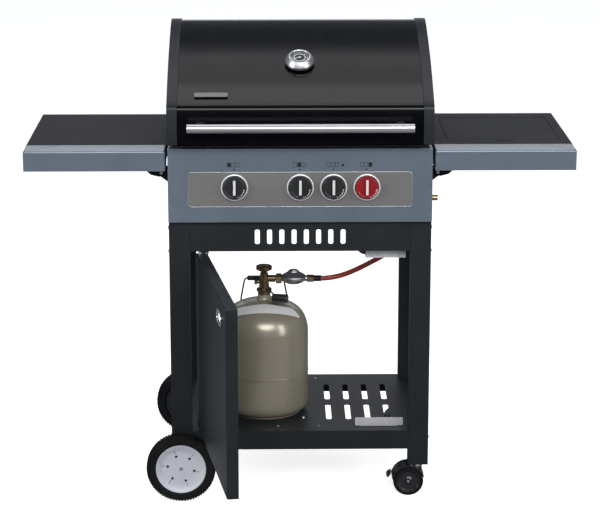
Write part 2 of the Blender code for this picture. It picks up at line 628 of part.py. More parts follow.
def make_lid():
    pivot = empty("lid_hinge", LID_PIVOT, GRILL)
    skin = bpy.data.meshes.new("lid_skin")
    bm = bmesh.new()
    line = [bm.verts.new((-LID_SKIN_HALF, y, z)) for y, z in LID_PROFILE]
    edges = [bm.edges.new(pair) for pair in zip(line, line[1:])]
    swept = bmesh.ops.extrude_edge_only(bm, edges=edges)["geom"]
    swept = [item for item in swept if isinstance(item, bmesh.types.BMVert)]
    bmesh.ops.translate(bm, verts=swept, vec=(2 * LID_SKIN_HALF, 0, 0))
    bmesh.ops.recalc_face_normals(bm, faces=bm.faces)
    if max(bm.faces, key=lambda face: face.calc_center_median().z).normal.z < 0:
        bmesh.ops.reverse_faces(bm, faces=bm.faces)
    bm.to_mesh(skin)
    bm.free()
    lid = add("lid_skin", skin, GLOSS_BLACK, smooth=True)
    shell = lid.modifiers.new("wall", "SOLIDIFY")
    shell.thickness, shell.offset, shell.use_even_offset = SHEET, -1.0, True
    gauge = (LID_PIVOT[0], GAUGE_CENTRE[1], GAUGE_CENTRE[2])
    probe_hole = rod("probe_hole", gauge, "Z", 0.006, 0.06, None, 12)
    probe_hole.location = Vector(gauge) - 0.03 * gauge_normal()
    probe_hole.rotation_euler = (radians(90 - GAUGE_TILT), 0, 0)
    hang(cut(lid, probe_hole), pivot)
    centre = Vector((0.235, 1.02))
    for word, side in SIDES:
        near, far = across(side, LID_SKIN_HALF + GAP, HALF_WIDTH - GAP)
        plate = slab(f"lid_side_{word}", "X", near, far, [LID_PROFILE], BLACK_STEEL)
        inner = [tuple(centre + 0.975 * (Vector(point) - centre)) for point in LID_PROFILE[1:-2]]
        inner = [(inner[0][0] - 0.002, 0.900), *inner, (0.484, 0.965), (0.520, 0.965), (0.520, 0.900)]
        low, high = across(side, 0.290, HALF_WIDTH - 0.0025)
        room = slab(f"lid_side_room_{word}", "X", low, high, [inner])
        pin_start = 0.315 if side > 0 else -0.335
        pin_hole = rod(f"lid_pin_hole_{word}", (pin_start, LID_PIVOT[1], LID_PIVOT[2]), "X", 0.0043, 0.020, None, 12)
        hang(cut(plate, room, pin_hole), pivot)
    make_lid_handle(pivot)
    make_gauge(pivot)


def gauge_normal():
    return Vector((0, -cos(radians(GAUGE_TILT)), sin(radians(GAUGE_TILT))))


def make_lid_handle(pivot):
    start = (-HANDLE_HALF, HANDLE_Y, HANDLE_Z)
    bar = rod("lid_handle", start, "X", HANDLE_R, 2 * HANDLE_HALF, CHROME, 16)
    stands = []
    for word, side in SIDES:
        low, high = across(side, 0.235, 0.251)
        stands.append(box(f"handle_stand_{word}", (low, HANDLE_Y, HANDLE_Z - 0.009), (high, -0.0380, HANDLE_Z + 0.009)))
    hang(join(bar, *stands), pivot)


def make_gauge(pivot):
    profile = [
        (0, 0.0145), (0.0235, 0.0145), (0.0245, 0.020), (0.0275, 0.0195), (0.0365, 0.0070), (0.0365, 0.0016),
        (0.005, 0.0016), (0.005, -0.040), (0, -0.042),
    ]
    gauge = turned("thermometer", GAUGE_CENTRE, "Z", profile, CHROME, 24)
    gauge.rotation_euler = (radians(90 - GAUGE_TILT), 0, 0)
    hang(gauge, pivot)


# The side shelves and the side burner

BURNER_WELL = (0.373, 0.135, 0.654, 0.444)  # the side burner's lid, low X and Y then high X and Y


def make_side_shelves():
    pivots = {}
    for word, side in SIDES:
        pivot = empty(f"shelf_fold_{word}", (side * FOLD_X, 0.266, FOLD_Z), GRILL)
        pivots[word] = pivot
        low, high = across(side, SHELF_IN, SHELF_REACH)
        start, base = FASCIA_DEPTH + GAP, 0.862
        top = pan(f"shelf_top_{word}", (low, start, base), (high, SHELF_BACK_Y, SHELF_TOP - 0.001), [(0, 0, -1)], DARK_GREY)
        extras = []
        arm = (
            (0.336, 0.8982), (0.402, 0.8982), (0.402, 0.860), (0.394, 0.843), (0.372, 0.8235),
            (0.352, 0.8185), (0.341, 0.8195), (0.336, 0.826),
        )
        for end, low_y, pin_y in (("front", 0.083, 0.0845), ("rear", 0.4445, 0.4375)):
            extras.append(slab(f"arm_{end}_{word}", "Y", low_y, low_y + 0.003, [[(side * x, z) for x, z in arm]]))
            extras.append(rod(f"fold_pin_{end}_{word}", (side * FOLD_X, pin_y, FOLD_Z), "Y", FOLD_PIN_R, 0.0085, None, 12))
        join(top, *extras)
        if side > 0:
            x0, y0, x1, y1 = BURNER_WELL
            middle, edge = (x0 + x1) / 2, 0.001
            notch = [(middle + u, y0 - edge - v) for u, v in ((-0.030, 0), (-0.016, 0.006), (0, 0.008), (0.016, 0.006), (0.030, 0))]
            outline = [(x0 - edge, y0 - edge), *notch, (x1 + edge, y0 - edge), (x1 + edge, y1 + 0.004), (x0 - edge, y1 + 0.004)]
            cut(top, slab("burner_well", "Z", 0.890, 0.910, [outline]))
        hang(top, pivot)
        sides_open = [(0, 0, -1), (0, 1, 0)]
        fascia = pan(f"shelf_fascia_{word}", (low, 0, SHELF_TOP - FASCIA_HEIGHT), (high, FASCIA_DEPTH, SHELF_TOP), sides_open, BLUE_GREY)
        hang(fascia, pivot)
    return pivots


def make_side_burner(pivot):
    x0, y0, x1, y1 = BURNER_WELL
    middle_x, middle_y = (x0 + x1) / 2, (y0 + y1) / 2
    rim, wall = 0.005, 0.001
    low, high = (x0 + rim, y0 + rim, 0.822), (x1 - rim, y1 - rim, 0.8945)
    bowl = pan("side_burner_bowl", low, high, [(0, 0, 1)], BLACK_STEEL, wall)
    hang(bowl, pivot)
    head = [(0, 0.050), (0.030, 0.050), (0.036, 0.046), (0.036, 0.034), (0.046, 0.030), (0.046, 0.018), (0.020, 0.010), (0.020, 0), (0, 0)]
    hang(turned("side_burner_head", (middle_x, middle_y, 0.822 + wall + GAP), "Z", head, CAST_IRON, 20), pivot)
    inner = rim + wall + 0.0006
    frame = rectangle(x0 + inner, y0 + inner, x1 - inner, y1 - inner)
    bar = 0.005
    gaps = [
        rectangle(a, c, b, d)
        for a, b in ((x0 + inner + 0.010, middle_x - bar), (middle_x + bar, x1 - inner - 0.010))
        for c, d in ((y0 + inner + 0.010, middle_y - bar), (middle_y + bar, y1 - inner - 0.010))
    ]
    hang(slab("side_burner_grid", "Z", 0.8775, 0.8845, [frame, *gaps], CAST_IRON), pivot)
    hinge = empty("side_burner_hinge", (middle_x, y1, SHELF_TOP - 0.001), pivot)
    lid = slab("side_burner_lid", "Z", SHELF_TOP - 0.0033, SHELF_TOP - 0.001, [rounded(x0, y0, x1, y1, 0.006, 2)], DARK_GREY)
    hang(lid, hinge)


# The door and its catches


def make_door():
    pin_x, pin_y = DOOR_PIN
    pivot = empty("door_hinge", (pin_x, pin_y, DOOR_Z[0]), GRILL, -DOOR_OPEN)
    low, high = (DOOR_X[0], DOOR_Y[0], DOOR_Z[0]), (DOOR_X[1], DOOR_Y[1], DOOR_Z[1])
    door = pan("door_panel", low, high, [(0, 1, 0)], PAINT)
    window = rounded(GRIP_X - 0.029, GRIP_Z - 0.012, GRIP_X + 0.029, GRIP_Z + 0.012, 0.0119, 4)
    opening = slab("grip_hole", "Y", DOOR_Y[0] - 0.01, DOOR_Y[0] + 0.01, [window])
    bores = [rod(f"door_bore_{i}", (pin_x, pin_y, z), "Z", 0.0034, 0.012, None, 12) for i, z in enumerate((DOOR_Z[0] - 0.006, DOOR_Z[1] - 0.006))]
    hang(cut(door, opening, *bores), pivot)
    outer = rounded(
        GRIP_X - GRIP_LENGTH / 2, GRIP_Z - GRIP_HEIGHT / 2, GRIP_X + GRIP_LENGTH / 2, GRIP_Z + GRIP_HEIGHT / 2, 0.0169, 5
    )
    ring = slab("door_grip_ring", "Y", DOOR_Y[0] - 0.0033, DOOR_Y[0] - GAP, [outer, window], CHROME, smooth=True)
    hang(ring, pivot)
    low_z = FLOOR_TOP + GAP
    hang(rod("door_hinge_rod", (pin_x, pin_y, low_z), "Z", 0.003, BEAM_LOW - GAP - low_z, ZINC, 12), GRILL)


def make_catches():
    top = slab("door_catch_top", "Y", 0.046, 0.048, [rounded(0.163, 0.6177, 0.265, 0.637, 0.003)], ZINC)
    foot = slab("catch_top_foot", "X", 0.180, 0.250, [[(0.022, 0.6418), (0.022, 0.6433), (0.0475, 0.6433), (0.0475, 0.630), (0.0465, 0.630), (0.0465, 0.6418)]])
    hang(join(top, foot), GRILL)
    low = slab("door_catch_bottom", "Y", 0.046, 0.048, [rounded(0.1405, 0.1755, 0.263, 0.197, 0.003)], ZINC)
    foot = box("catch_bottom_foot", (0.155, 0.0465, FLOOR_TOP + GAP), (0.250, 0.070, FLOOR_TOP + GAP + 0.003))
    hang(join(low, foot), GRILL)


# The gas cylinder, its valve, the regulator and the hose


def make_cylinder():
    x, y, r, wall = CYLINDER_X, CYLINDER_Y, CYLINDER_R, 0.003
    base = FLOOR_TOP + GAP
    neck, mouth = 0.016, 0.0115
    dome = [(0.1128, 0.400), (0.106, 0.423), (0.092, 0.443), (0.068, 0.458), (0.040, 0.467), (0.021, 0.470)]
    outside = [(neck, 0.482), (neck + 0.003, 0.472), *reversed(dome), (r, 0.385), (r, 0.200), (0.110, 0.186), (0.100, 0.1775), (0.090, base)]
    inside = [(0.085, base + wall), (0.105, 0.187), (r - wall, 0.200), (r - wall, 0.385), *[(a - wall, z - wall * 0.7) for a, z in dome[:-1]], (mouth, 0.464)]
    profile = [(0, base + wall), *inside, (mouth, 0.482), *outside, (0, base)]
    hang(turned("gas_cylinder", (x, y, 0), "Z", profile, CYLINDER_PAINT, 28), GRILL)
    bow_y = y + 0.036
    legs = [(x - 0.056, bow_y, 0.4610), (x - 0.051, bow_y, 0.498), (x - 0.044, bow_y, 0.5075), (x + 0.044, bow_y, 0.5075), (x + 0.051, bow_y, 0.498), (x + 0.056, bow_y, 0.4610)]
    bow = tube_mesh("cylinder_handle", legs, 0.0022, BLACK_PLASTIC)
    grip = box("bow_grip", (x - 0.044, bow_y - 0.004, 0.5015), (x + 0.044, bow_y + 0.004, 0.5135))
    hang(join(bow, grip), GRILL)


def make_valve_and_regulator():
    x, y, z = CYLINDER_X, CYLINDER_Y, OUTLET_Z
    stack = [
        (0, 0.546 - z), (0.006, 0.546 - z), (0.006, 0.540 - z), (0.0105, 0.540 - z), (0.0105, 0.532 - z), (0.013, 0.530 - z),
        (0.013, 0.494 - z), (0.0165, 0.492 - z), (0.0165, 0.4823 - z), (0.0105, 0.4823 - z), (0.0105, 0.468 - z), (0, 0.468 - z),
    ]
    valve = turned("cylinder_valve", (x, y, z), "Z", stack, BRASS, 16)
    outlet = rod("valve_outlet", (x, y, z), "X", 0.0095, 0.0297, None, 12)
    plug = rod("valve_plug", (x - 0.022, y, z), "X", 0.006, 0.020, None, 12)
    hang(join(valve, outlet, plug), GRILL)
    wheel = [(0, 0.564), (0.012, 0.564), (0.0205, 0.5625), (0.0205, 0.553), (0.015, 0.5463), (0, 0.5463)]
    pivot = empty("handwheel_axis", (x, y, 0.55), GRILL)
    hang(turned("valve_handwheel", (x, y, 0), "Z", wheel, BRASS, 20), pivot)
    middle = -0.0145
    saucer = [(0, 0.019), (0.013, 0.019), (0.015, 0.013), (0.029, 0.005), (0.032, 0.002), (0.032, -0.003), (0.026, -0.010), (0.012, -0.014), (0, -0.014)]
    regulator = turned("regulator", (middle, y, z), "Z", saucer, ZINC, 24)
    inlet = [(0, -0.020 - middle), (0.008, -0.020 - middle), (0.008, -0.0445 - middle), (0.0135, -0.0445 - middle), (0.0135, -0.0605 - middle), (0, -0.0605 - middle)]
    nut = turned("union_nut", (0, y, z), "X", [(a, b + middle) for a, b in inlet], None, 12)
    outlet_stub = rod("regulator_outlet", (middle, y, z), "X", 0.0075, 0.040, None, 12)
    outlet_nut = rod("outlet_nut", (0.020, y, z), "X", 0.0100, 0.018, None, 6)
    ferrule = rod("ferrule", (0.037, y, z), "X", 0.0080, 0.020, None, 12)
    hang(join(regulator, nut, outlet_stub, outlet_nut, ferrule), GRILL)
    hang(tube("gas_hose", smooth_route(HOSE_ROUTE, 2), HOSE_R, HOSE_RUBBER), GRILL)


clear_scene()
PARTS = group("gas_barbecue_grill")
HELPERS = group("helper_shapes")
PAINT = finish("anthracite_paint", (0.030, 0.034, 0.038), 0.45)
BLUE_GREY = finish("blue_grey_metallic", (0.135, 0.155, 0.180), 0.38, 0.5)
DARK_GREY = finish("shelf_grey", (0.055, 0.057, 0.062), 0.50)
GLOSS_BLACK = finish("gloss_enamel", (0.010, 0.010, 0.011), 0.10)
BLACK_STEEL = finish("satin_black", (0.018, 0.018, 0.020), 0.40)
STEEL = finish("brushed_steel", (0.42, 0.41, 0.40), 0.35, 1.0)
CHROME = finish("chrome", (0.80, 0.80, 0.82), 0.12, 1.0)
ZINC = finish("zinc", (0.60, 0.61, 0.62), 0.40, 1.0)
BRASS = finish("brass", (0.50, 0.36, 0.18), 0.35, 1.0)
CAST_IRON = finish("cast_iron", (0.020, 0.020, 0.020), 0.60)
BLACK_PLASTIC = finish("black_plastic", (0.015, 0.015, 0.016), 0.45)
RED = finish("red_plastic", (0.55, 0.02, 0.03), 0.35)
RUBBER = finish("tyre_rubber", (0.018, 0.018, 0.018), 0.70)
HUB = finish("hub_grey", (0.42, 0.43, 0.46), 0.45)
CYLINDER_PAINT = finish("cylinder_beige", (0.20, 0.185, 0.155), 0.45)
HOSE_RUBBER = finish("hose_red", (0.45, 0.09, 0.05), 0.50)

GRILL = empty("grill")
GRILL.location.y = FRONT_Y

make_legs()
make_beams()
make_bottom_shelf()
make_side_panels()
make_wheels()
make_casters()
make_control_panel()
make_knobs()
make_gas_rail()
make_firebox()
make_burners()
make_grates()
make_warming_rack()
make_grease_tray()
make_lid()
shelf_pivots = make_side_shelves()
make_side_burner(shelf_pivots["right"])
make_door()
make_catches()
make_cylinder()
make_valve_and_regulator()
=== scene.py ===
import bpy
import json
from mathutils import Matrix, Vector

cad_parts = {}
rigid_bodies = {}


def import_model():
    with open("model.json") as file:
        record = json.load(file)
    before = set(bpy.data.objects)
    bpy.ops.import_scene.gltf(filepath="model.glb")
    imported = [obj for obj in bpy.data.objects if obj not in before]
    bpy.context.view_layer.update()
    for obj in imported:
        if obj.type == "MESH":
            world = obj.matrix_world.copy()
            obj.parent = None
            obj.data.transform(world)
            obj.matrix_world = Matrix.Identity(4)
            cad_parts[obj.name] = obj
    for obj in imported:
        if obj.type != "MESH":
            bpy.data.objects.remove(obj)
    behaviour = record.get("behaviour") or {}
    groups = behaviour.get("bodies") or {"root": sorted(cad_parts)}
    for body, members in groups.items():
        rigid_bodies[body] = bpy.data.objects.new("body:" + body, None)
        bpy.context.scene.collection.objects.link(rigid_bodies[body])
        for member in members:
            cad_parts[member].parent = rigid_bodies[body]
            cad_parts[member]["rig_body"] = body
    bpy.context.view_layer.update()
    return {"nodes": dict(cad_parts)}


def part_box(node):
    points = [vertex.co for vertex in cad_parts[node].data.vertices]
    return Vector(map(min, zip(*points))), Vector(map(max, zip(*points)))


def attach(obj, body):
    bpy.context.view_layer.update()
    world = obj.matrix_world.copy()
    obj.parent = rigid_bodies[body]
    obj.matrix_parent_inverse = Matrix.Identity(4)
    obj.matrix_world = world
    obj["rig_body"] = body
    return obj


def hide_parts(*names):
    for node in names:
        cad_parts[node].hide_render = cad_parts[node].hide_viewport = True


bl_info = {
    "name": "Gas barbecue grill",
    "version": (1, 0, 0),
    "blender": (4, 5, 0),
    "location": "View3D > Sidebar > Grill",
    "description": "Shapes, finishes, light and camera for a gas barbecue grill on a cart",
    "category": "Object",
}

import json
from math import cos, pi, radians, sin

import bmesh
import bpy
from bpy.props import FloatProperty, FloatVectorProperty, IntProperty, PointerProperty
from mathutils import Matrix, Vector

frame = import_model()

# Places are given from the control panel's front face, which stands a little in front of the frame's zero.
FRONT_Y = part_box("control_panel")[0].y
TYRE_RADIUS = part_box("tyre_front")[1].z / 2
TREAD_DEPTH = 0.0022
SIDES = (("left", -1), ("right", 1))
X, Y, Z = Vector((1, 0, 0)), Vector((0, 1, 0)), Vector((0, 0, 1))

DOOR_HINGE = Vector((-0.250, 0.0206, 0))
DOOR_OPEN = radians(81)
GAUGE_CENTRE = Vector((0, 0.110, 1.1015))
GAUGE_FACING = Vector((0, -cos(radians(62)), sin(radians(62))))
CYLINDER_AXIS = Vector((-0.0905, 0.202, 0))
VALVE_HEIGHT = 0.524
KNOB_HEIGHT = 0.809
HANDLE_FRONT, HANDLE_HEIGHT = -0.085, 0.972
KNOB_PLACES = (-0.162, 0.0, 0.082, 0.164)

# The lid's outline from its front lower edge over the top to the back, as (depth, height).
LID_OUTLINE = (
    (-0.040, 0.922), (-0.0372, 0.965), (-0.035, 1.004), (-0.0300, 1.0165), (-0.018, 1.0245),
    (0.010, 1.0425), (0.049, 1.067), (0.120, 1.105), (0.190, 1.1362), (0.245, 1.1570), (0.290, 1.1700),
    (0.330, 1.1775), (0.352, 1.1780), (0.375, 1.1730), (0.405, 1.158), (0.437, 1.126), (0.461, 1.085),
    (0.479, 1.035), (0.489, 0.985), (0.494, 0.928),
)

HOSE_DIAMETER = 0.0128
HOSE_POINTS = (
    (0.0574, 0.202, 0.524), (0.068, 0.202, 0.5243), (0.091, 0.2017, 0.5275), (0.116, 0.2005, 0.5345),
    (0.143, 0.198, 0.546), (0.168, 0.194, 0.5595), (0.190, 0.186, 0.5735), (0.210, 0.174, 0.588),
    (0.227, 0.157, 0.604), (0.241, 0.137, 0.620), (0.2515, 0.115, 0.6365), (0.258, 0.093, 0.654),
    (0.2612, 0.075, 0.673), (0.262, 0.0627, 0.6945), (0.262, 0.0575, 0.714), (0.262, 0.0570, 0.7222),
    (0.262, 0.0570, 0.7312),
)


# Sizes and colours that a user may change


def size(name, default, description):
    return FloatProperty(
        name=name, default=default, description=description, min=0, unit="LENGTH", precision=4
    )


def colour(name, default, description):
    return FloatVectorProperty(
        name=name, default=default, description=description, subtype="COLOR", size=3, min=0, max=1
    )


class GrillSizes(bpy.types.PropertyGroup):
    sheet: size("Sheet", 0.0012, "Thickness of the folded sheet metal")
    edge: size("Edge", 0.0005, "Rounding of a cut edge")
    handle_radius: size("Handle radius", 0.011, "Radius of the lid handle's tube")
    knob_radius: size("Knob radius", 0.029, "Radius of a control knob")
    cylinder_radius: size("Cylinder radius", 0.114, "Radius of the gas cylinder")
    tyre_blocks: IntProperty(name="Tyre blocks", default=72, description="Tread blocks round a wheel", min=12)


class GrillColours(bpy.types.PropertyGroup):
    anthracite_paint: colour(
        "Anthracite paint", (0.0125, 0.0155, 0.0180), "Posts, beams, door and bottom shelf"
    )
    blue_grey_metallic: colour("Blue-grey metallic", (0.190, 0.235, 0.285), "Control panel and shelf fronts")
    shelf_grey: colour("Shelf grey", (0.0160, 0.0163, 0.0205), "Tops of the side shelves")
    gloss_enamel: colour("Gloss enamel", (0.0010, 0.0012, 0.0017), "Lid")
    satin_black: colour("Satin black", (0.0085, 0.0105, 0.0145), "Lid ends and firebox")
    brushed_steel: colour("Brushed steel", (0.190, 0.188, 0.186), "Plate behind the knobs, badge and burners")
    chrome: colour("Chrome", (0.80, 0.80, 0.82), "Door ring and warming rack")
    zinc: colour("Zinc", (0.55, 0.56, 0.58), "Screws, axle, tray and regulator")
    brass: colour("Brass", (0.43, 0.31, 0.16), "Gas rail and nuts")
    cast_iron: colour("Cast iron", (0.020, 0.020, 0.021), "Grate, griddle and side burner")
    black_plastic: colour("Black plastic", (0.016, 0.017, 0.018), "Knobs, grips and caps")
    red_plastic: colour("Red plastic", (0.26, 0.006, 0.011), "Knob of the side burner")
    tyre_rubber: colour("Tyre rubber", (0.0055, 0.0058, 0.0066), "Tyres")
    hub_grey: colour("Hub grey", (0.56, 0.58, 0.63), "Wheel covers")
    cylinder_beige: colour("Cylinder beige", (0.300, 0.275, 0.212), "Gas cylinder")
    hose_red: colour("Hose red", (0.40, 0.045, 0.028), "Gas hose")
    bright_steel: colour("Bright steel", (0.62, 0.62, 0.63), "Lid handle and the thermometer's bezel")
    dial_grey: colour("Dial grey", (0.012, 0.013, 0.015), "Thermometer's dial")
    satin_chrome: colour("Satin chrome", (0.86, 0.86, 0.87), "Rings round the knobs")
    print_black: colour("Print black", (0.012, 0.013, 0.015), "Markings on the panel")
    bronze: colour("Bronze", (0.200, 0.135, 0.080), "Cylinder valve and handwheel")
    galvanised: colour("Galvanised", (0.58, 0.58, 0.59), "Door catches")
    label_white: colour("Label white", (0.62, 0.63, 0.63), "Blank label and markings")


# Finishes


def nodes_group(name, inputs, outputs):
    """A new shader node group with the given named sockets, and its input and output nodes."""
    group = bpy.data.node_groups.new(name, "ShaderNodeTree")
    for kind, title, default in inputs:
        made = group.interface.new_socket(name=title, in_out="INPUT", socket_type=kind)
        if default is not None:
            made.default_value = default
    for kind, title in outputs:
        group.interface.new_socket(name=title, in_out="OUTPUT", socket_type=kind)
    return group, group.nodes.new("NodeGroupInput"), group.nodes.new("NodeGroupOutput")


def noise(tree, scale, detail=2.0, roughness=0.5):
    made = tree.nodes.new("ShaderNodeTexNoise")
    made.inputs["Scale"].default_value = scale
    made.inputs["Detail"].default_value = detail
    made.inputs["Roughness"].default_value = roughness
    return made


def pattern_group(name, grain):
    """A group that makes a tone for the colour and a height for the bump, from a place and a grain."""
    return nodes_group(
        name,
        [("NodeSocketVector", "Position", None), ("NodeSocketFloat", "Grain", grain)],
        [("NodeSocketFloat", "Tone"), ("NodeSocketFloat", "Height")],
    )


def blend(tree, first, second, share):
    """The first value, going over to the second by a share of 0 to 1."""
    mixed = tree.nodes.new("ShaderNodeMix")
    mixed.data_type = "FLOAT"
    mixed.inputs["Factor"].default_value = share
    tree.links.new(first, mixed.inputs["A"])
    tree.links.new(second, mixed.inputs["B"])
    return mixed.outputs["Result"]


def multiply(tree, first, second):
    made = tree.nodes.new("ShaderNodeMath")
    made.operation = "MULTIPLY"
    tree.links.new(first, made.inputs[0])
    tree.links.new(second, made.inputs[1])
    return made.outputs[0]


def build_coat_effect():
    """Orange peel and slow drift of a sprayed or powdered coat."""
    group, given, made = pattern_group("coat_grain", 900.0)
    link = group.links.new
    drift = noise(group, 7.0, 3.0)
    grain = noise(group, 900.0, 2.0, 0.6)
    link(given.outputs["Position"], drift.inputs["Vector"])
    link(given.outputs["Position"], grain.inputs["Vector"])
    link(given.outputs["Grain"], grain.inputs["Scale"])
    link(blend(group, grain.outputs["Fac"], drift.outputs["Fac"], 0.55), made.inputs["Tone"])
    link(grain.outputs["Fac"], made.inputs["Height"])
    return group


def build_flake_effect():
    """Fine metal flakes in a metallic paint, and a slow drift under them."""
    group, given, made = pattern_group("metal_flakes", 1800.0)
    link = group.links.new
    flakes = group.nodes.new("ShaderNodeTexVoronoi")
    flakes.feature = "F1"
    link(given.outputs["Position"], flakes.inputs["Vector"])
    link(given.outputs["Grain"], flakes.inputs["Scale"])
    grey = group.nodes.new("ShaderNodeSeparateColor")
    link(flakes.outputs["Color"], grey.inputs["Color"])
    drift = noise(group, 6.0, 2.0)
    link(given.outputs["Position"], drift.inputs["Vector"])
    link(blend(group, grey.outputs["Red"], drift.outputs["Fac"], 0.5), made.inputs["Tone"])
    link(flakes.outputs["Distance"], made.inputs["Height"])
    return group


def build_brush_effect():
    """Long fine scratches along one direction, for brushed or drawn metal."""
    group, given, made = pattern_group("brush_lines", 1400.0)
    link = group.links.new
    stretch = group.nodes.new("ShaderNodeMapping")
    stretch.inputs["Scale"].default_value = (0.012, 1.0, 1.0)
    link(given.outputs["Position"], stretch.inputs["Vector"])
    lines = noise(group, 1400.0, 3.0, 0.65)
    link(given.outputs["Grain"], lines.inputs["Scale"])
    link(stretch.outputs["Vector"], lines.inputs["Vector"])
    smear = noise(group, 9.0, 2.0)
    link(given.outputs["Position"], smear.inputs["Vector"])
    link(blend(group, lines.outputs["Fac"], smear.outputs["Fac"], 0.35), made.inputs["Tone"])
    link(lines.outputs["Fac"], made.inputs["Height"])
    return group


def build_dust_effect():
    """A mask of faint dust and finger marks, stronger on faces that look up."""
    group, given, made = nodes_group(
        "dust",
        [("NodeSocketVector", "Position", None), ("NodeSocketFloat", "Amount", 0.2)],
        [("NodeSocketFloat", "Mask")],
    )
    link = group.links.new
    cloud = noise(group, 14.0, 6.0, 0.65)
    link(given.outputs["Position"], cloud.inputs["Vector"])
    ramp = group.nodes.new("ShaderNodeMapRange")
    ramp.inputs["From Min"].default_value = 0.42
    ramp.inputs["From Max"].default_value = 0.72
    link(cloud.outputs["Fac"], ramp.inputs["Value"])
    geometry = group.nodes.new("ShaderNodeNewGeometry")
    split = group.nodes.new("ShaderNodeSeparateXYZ")
    link(geometry.outputs["Normal"], split.inputs["Vector"])
    upward = group.nodes.new("ShaderNodeMapRange")
    upward.inputs["From Min"].default_value = -0.2
    upward.inputs["To Min"].default_value = 0.35
    link(split.outputs["Z"], upward.inputs["Value"])
    shade = multiply(group, ramp.outputs["Result"], upward.outputs["Result"])
    link(multiply(group, shade, given.outputs["Amount"]), made.inputs["Mask"])
    return group


EFFECTS = {
    "coat_grain": build_coat_effect,
    "metal_flakes": build_flake_effect,
    "brush_lines": build_brush_effect,
    "dust": build_dust_effect,
}


def effect(name):
    return bpy.data.node_groups.get(name) or EFFECTS[name]()


# Each finish: its effect and grain, how far its colour varies, its lowest and highest roughness, how metallic
# it is, the depth of its grain in metres, its clear coat, how much dust it holds, and its specular level.
FINISHES = {
    "anthracite_paint": ("coat_grain", 950, 0.35, (0.38, 0.50), 0.0, 0.00005, 0.0, 0.02, 0.24),
    "blue_grey_metallic": ("metal_flakes", 1900, 0.30, (0.30, 0.42), 0.65, 0.00001, 0.25, 0.05, 0.5),
    "shelf_grey": ("coat_grain", 1100, 0.30, (0.46, 0.60), 0.0, 0.00005, 0.0, 0.03, 0.06),
    "gloss_enamel": ("coat_grain", 240, 0.30, (0.15, 0.19), 0.0, 0.00001, 0.0, 0.01, 0.22),
    "satin_black": ("coat_grain", 800, 0.30, (0.34, 0.46), 0.0, 0.00004, 0.0, 0.03, 0.3),
    "brushed_steel": ("brush_lines", 1500, 0.22, (0.46, 0.60), 0.55, 0.00003, 0.0, 0.04, 0.5),
    "chrome": ("brush_lines", 500, 0.06, (0.05, 0.11), 1.0, 0.0, 0.0, 0.02, 0.5),
    "zinc": ("coat_grain", 350, 0.45, (0.30, 0.48), 1.0, 0.00003, 0.0, 0.05, 0.5),
    "brass": ("coat_grain", 300, 0.50, (0.26, 0.42), 1.0, 0.00003, 0.0, 0.08, 0.5),
    "cast_iron": ("coat_grain", 700, 0.45, (0.50, 0.68), 0.0, 0.00022, 0.0, 0.10, 0.45),
    "black_plastic": ("coat_grain", 1300, 0.25, (0.20, 0.30), 0.0, 0.00002, 0.0, 0.06, 0.5),
    "red_plastic": ("coat_grain", 1300, 0.15, (0.18, 0.28), 0.0, 0.00002, 0.2, 0.02, 0.5),
    "tyre_rubber": ("coat_grain", 600, 0.35, (0.60, 0.78), 0.0, 0.00012, 0.0, 0.05, 0.12),
    "hub_grey": ("coat_grain", 900, 0.12, (0.38, 0.50), 0.15, 0.00003, 0.0, 0.04, 0.5),
    "cylinder_beige": ("coat_grain", 160, 0.16, (0.22, 0.30), 0.35, 0.00003, 0.0, 0.04, 0.35),
    "hose_red": ("coat_grain", 800, 0.20, (0.26, 0.36), 0.0, 0.00005, 0.0, 0.06, 0.5),
    "bright_steel": ("brush_lines", 900, 0.12, (0.32, 0.42), 1.0, 0.00002, 0.0, 0.02, 0.5),
    "dial_grey": ("coat_grain", 1400, 0.30, (0.25, 0.40), 0.0, 0.00001, 0.0, 0.02, 0.2),
    "satin_chrome": ("coat_grain", 700, 0.05, (0.30, 0.40), 0.25, 0.00001, 0.0, 0.01, 0.5),
    "print_black": ("coat_grain", 900, 0.20, (0.40, 0.50), 0.0, 0.00001, 0.0, 0.02, 0.3),
    "bronze": ("coat_grain", 260, 0.60, (0.28, 0.48), 1.0, 0.00006, 0.0, 0.10, 0.5),
    "galvanised": ("metal_flakes", 420, 0.22, (0.42, 0.60), 0.35, 0.00002, 0.0, 0.06, 0.5),
    "label_white": ("coat_grain", 500, 0.10, (0.40, 0.55), 0.0, 0.00002, 0.0, 0.03, 0.5),
}


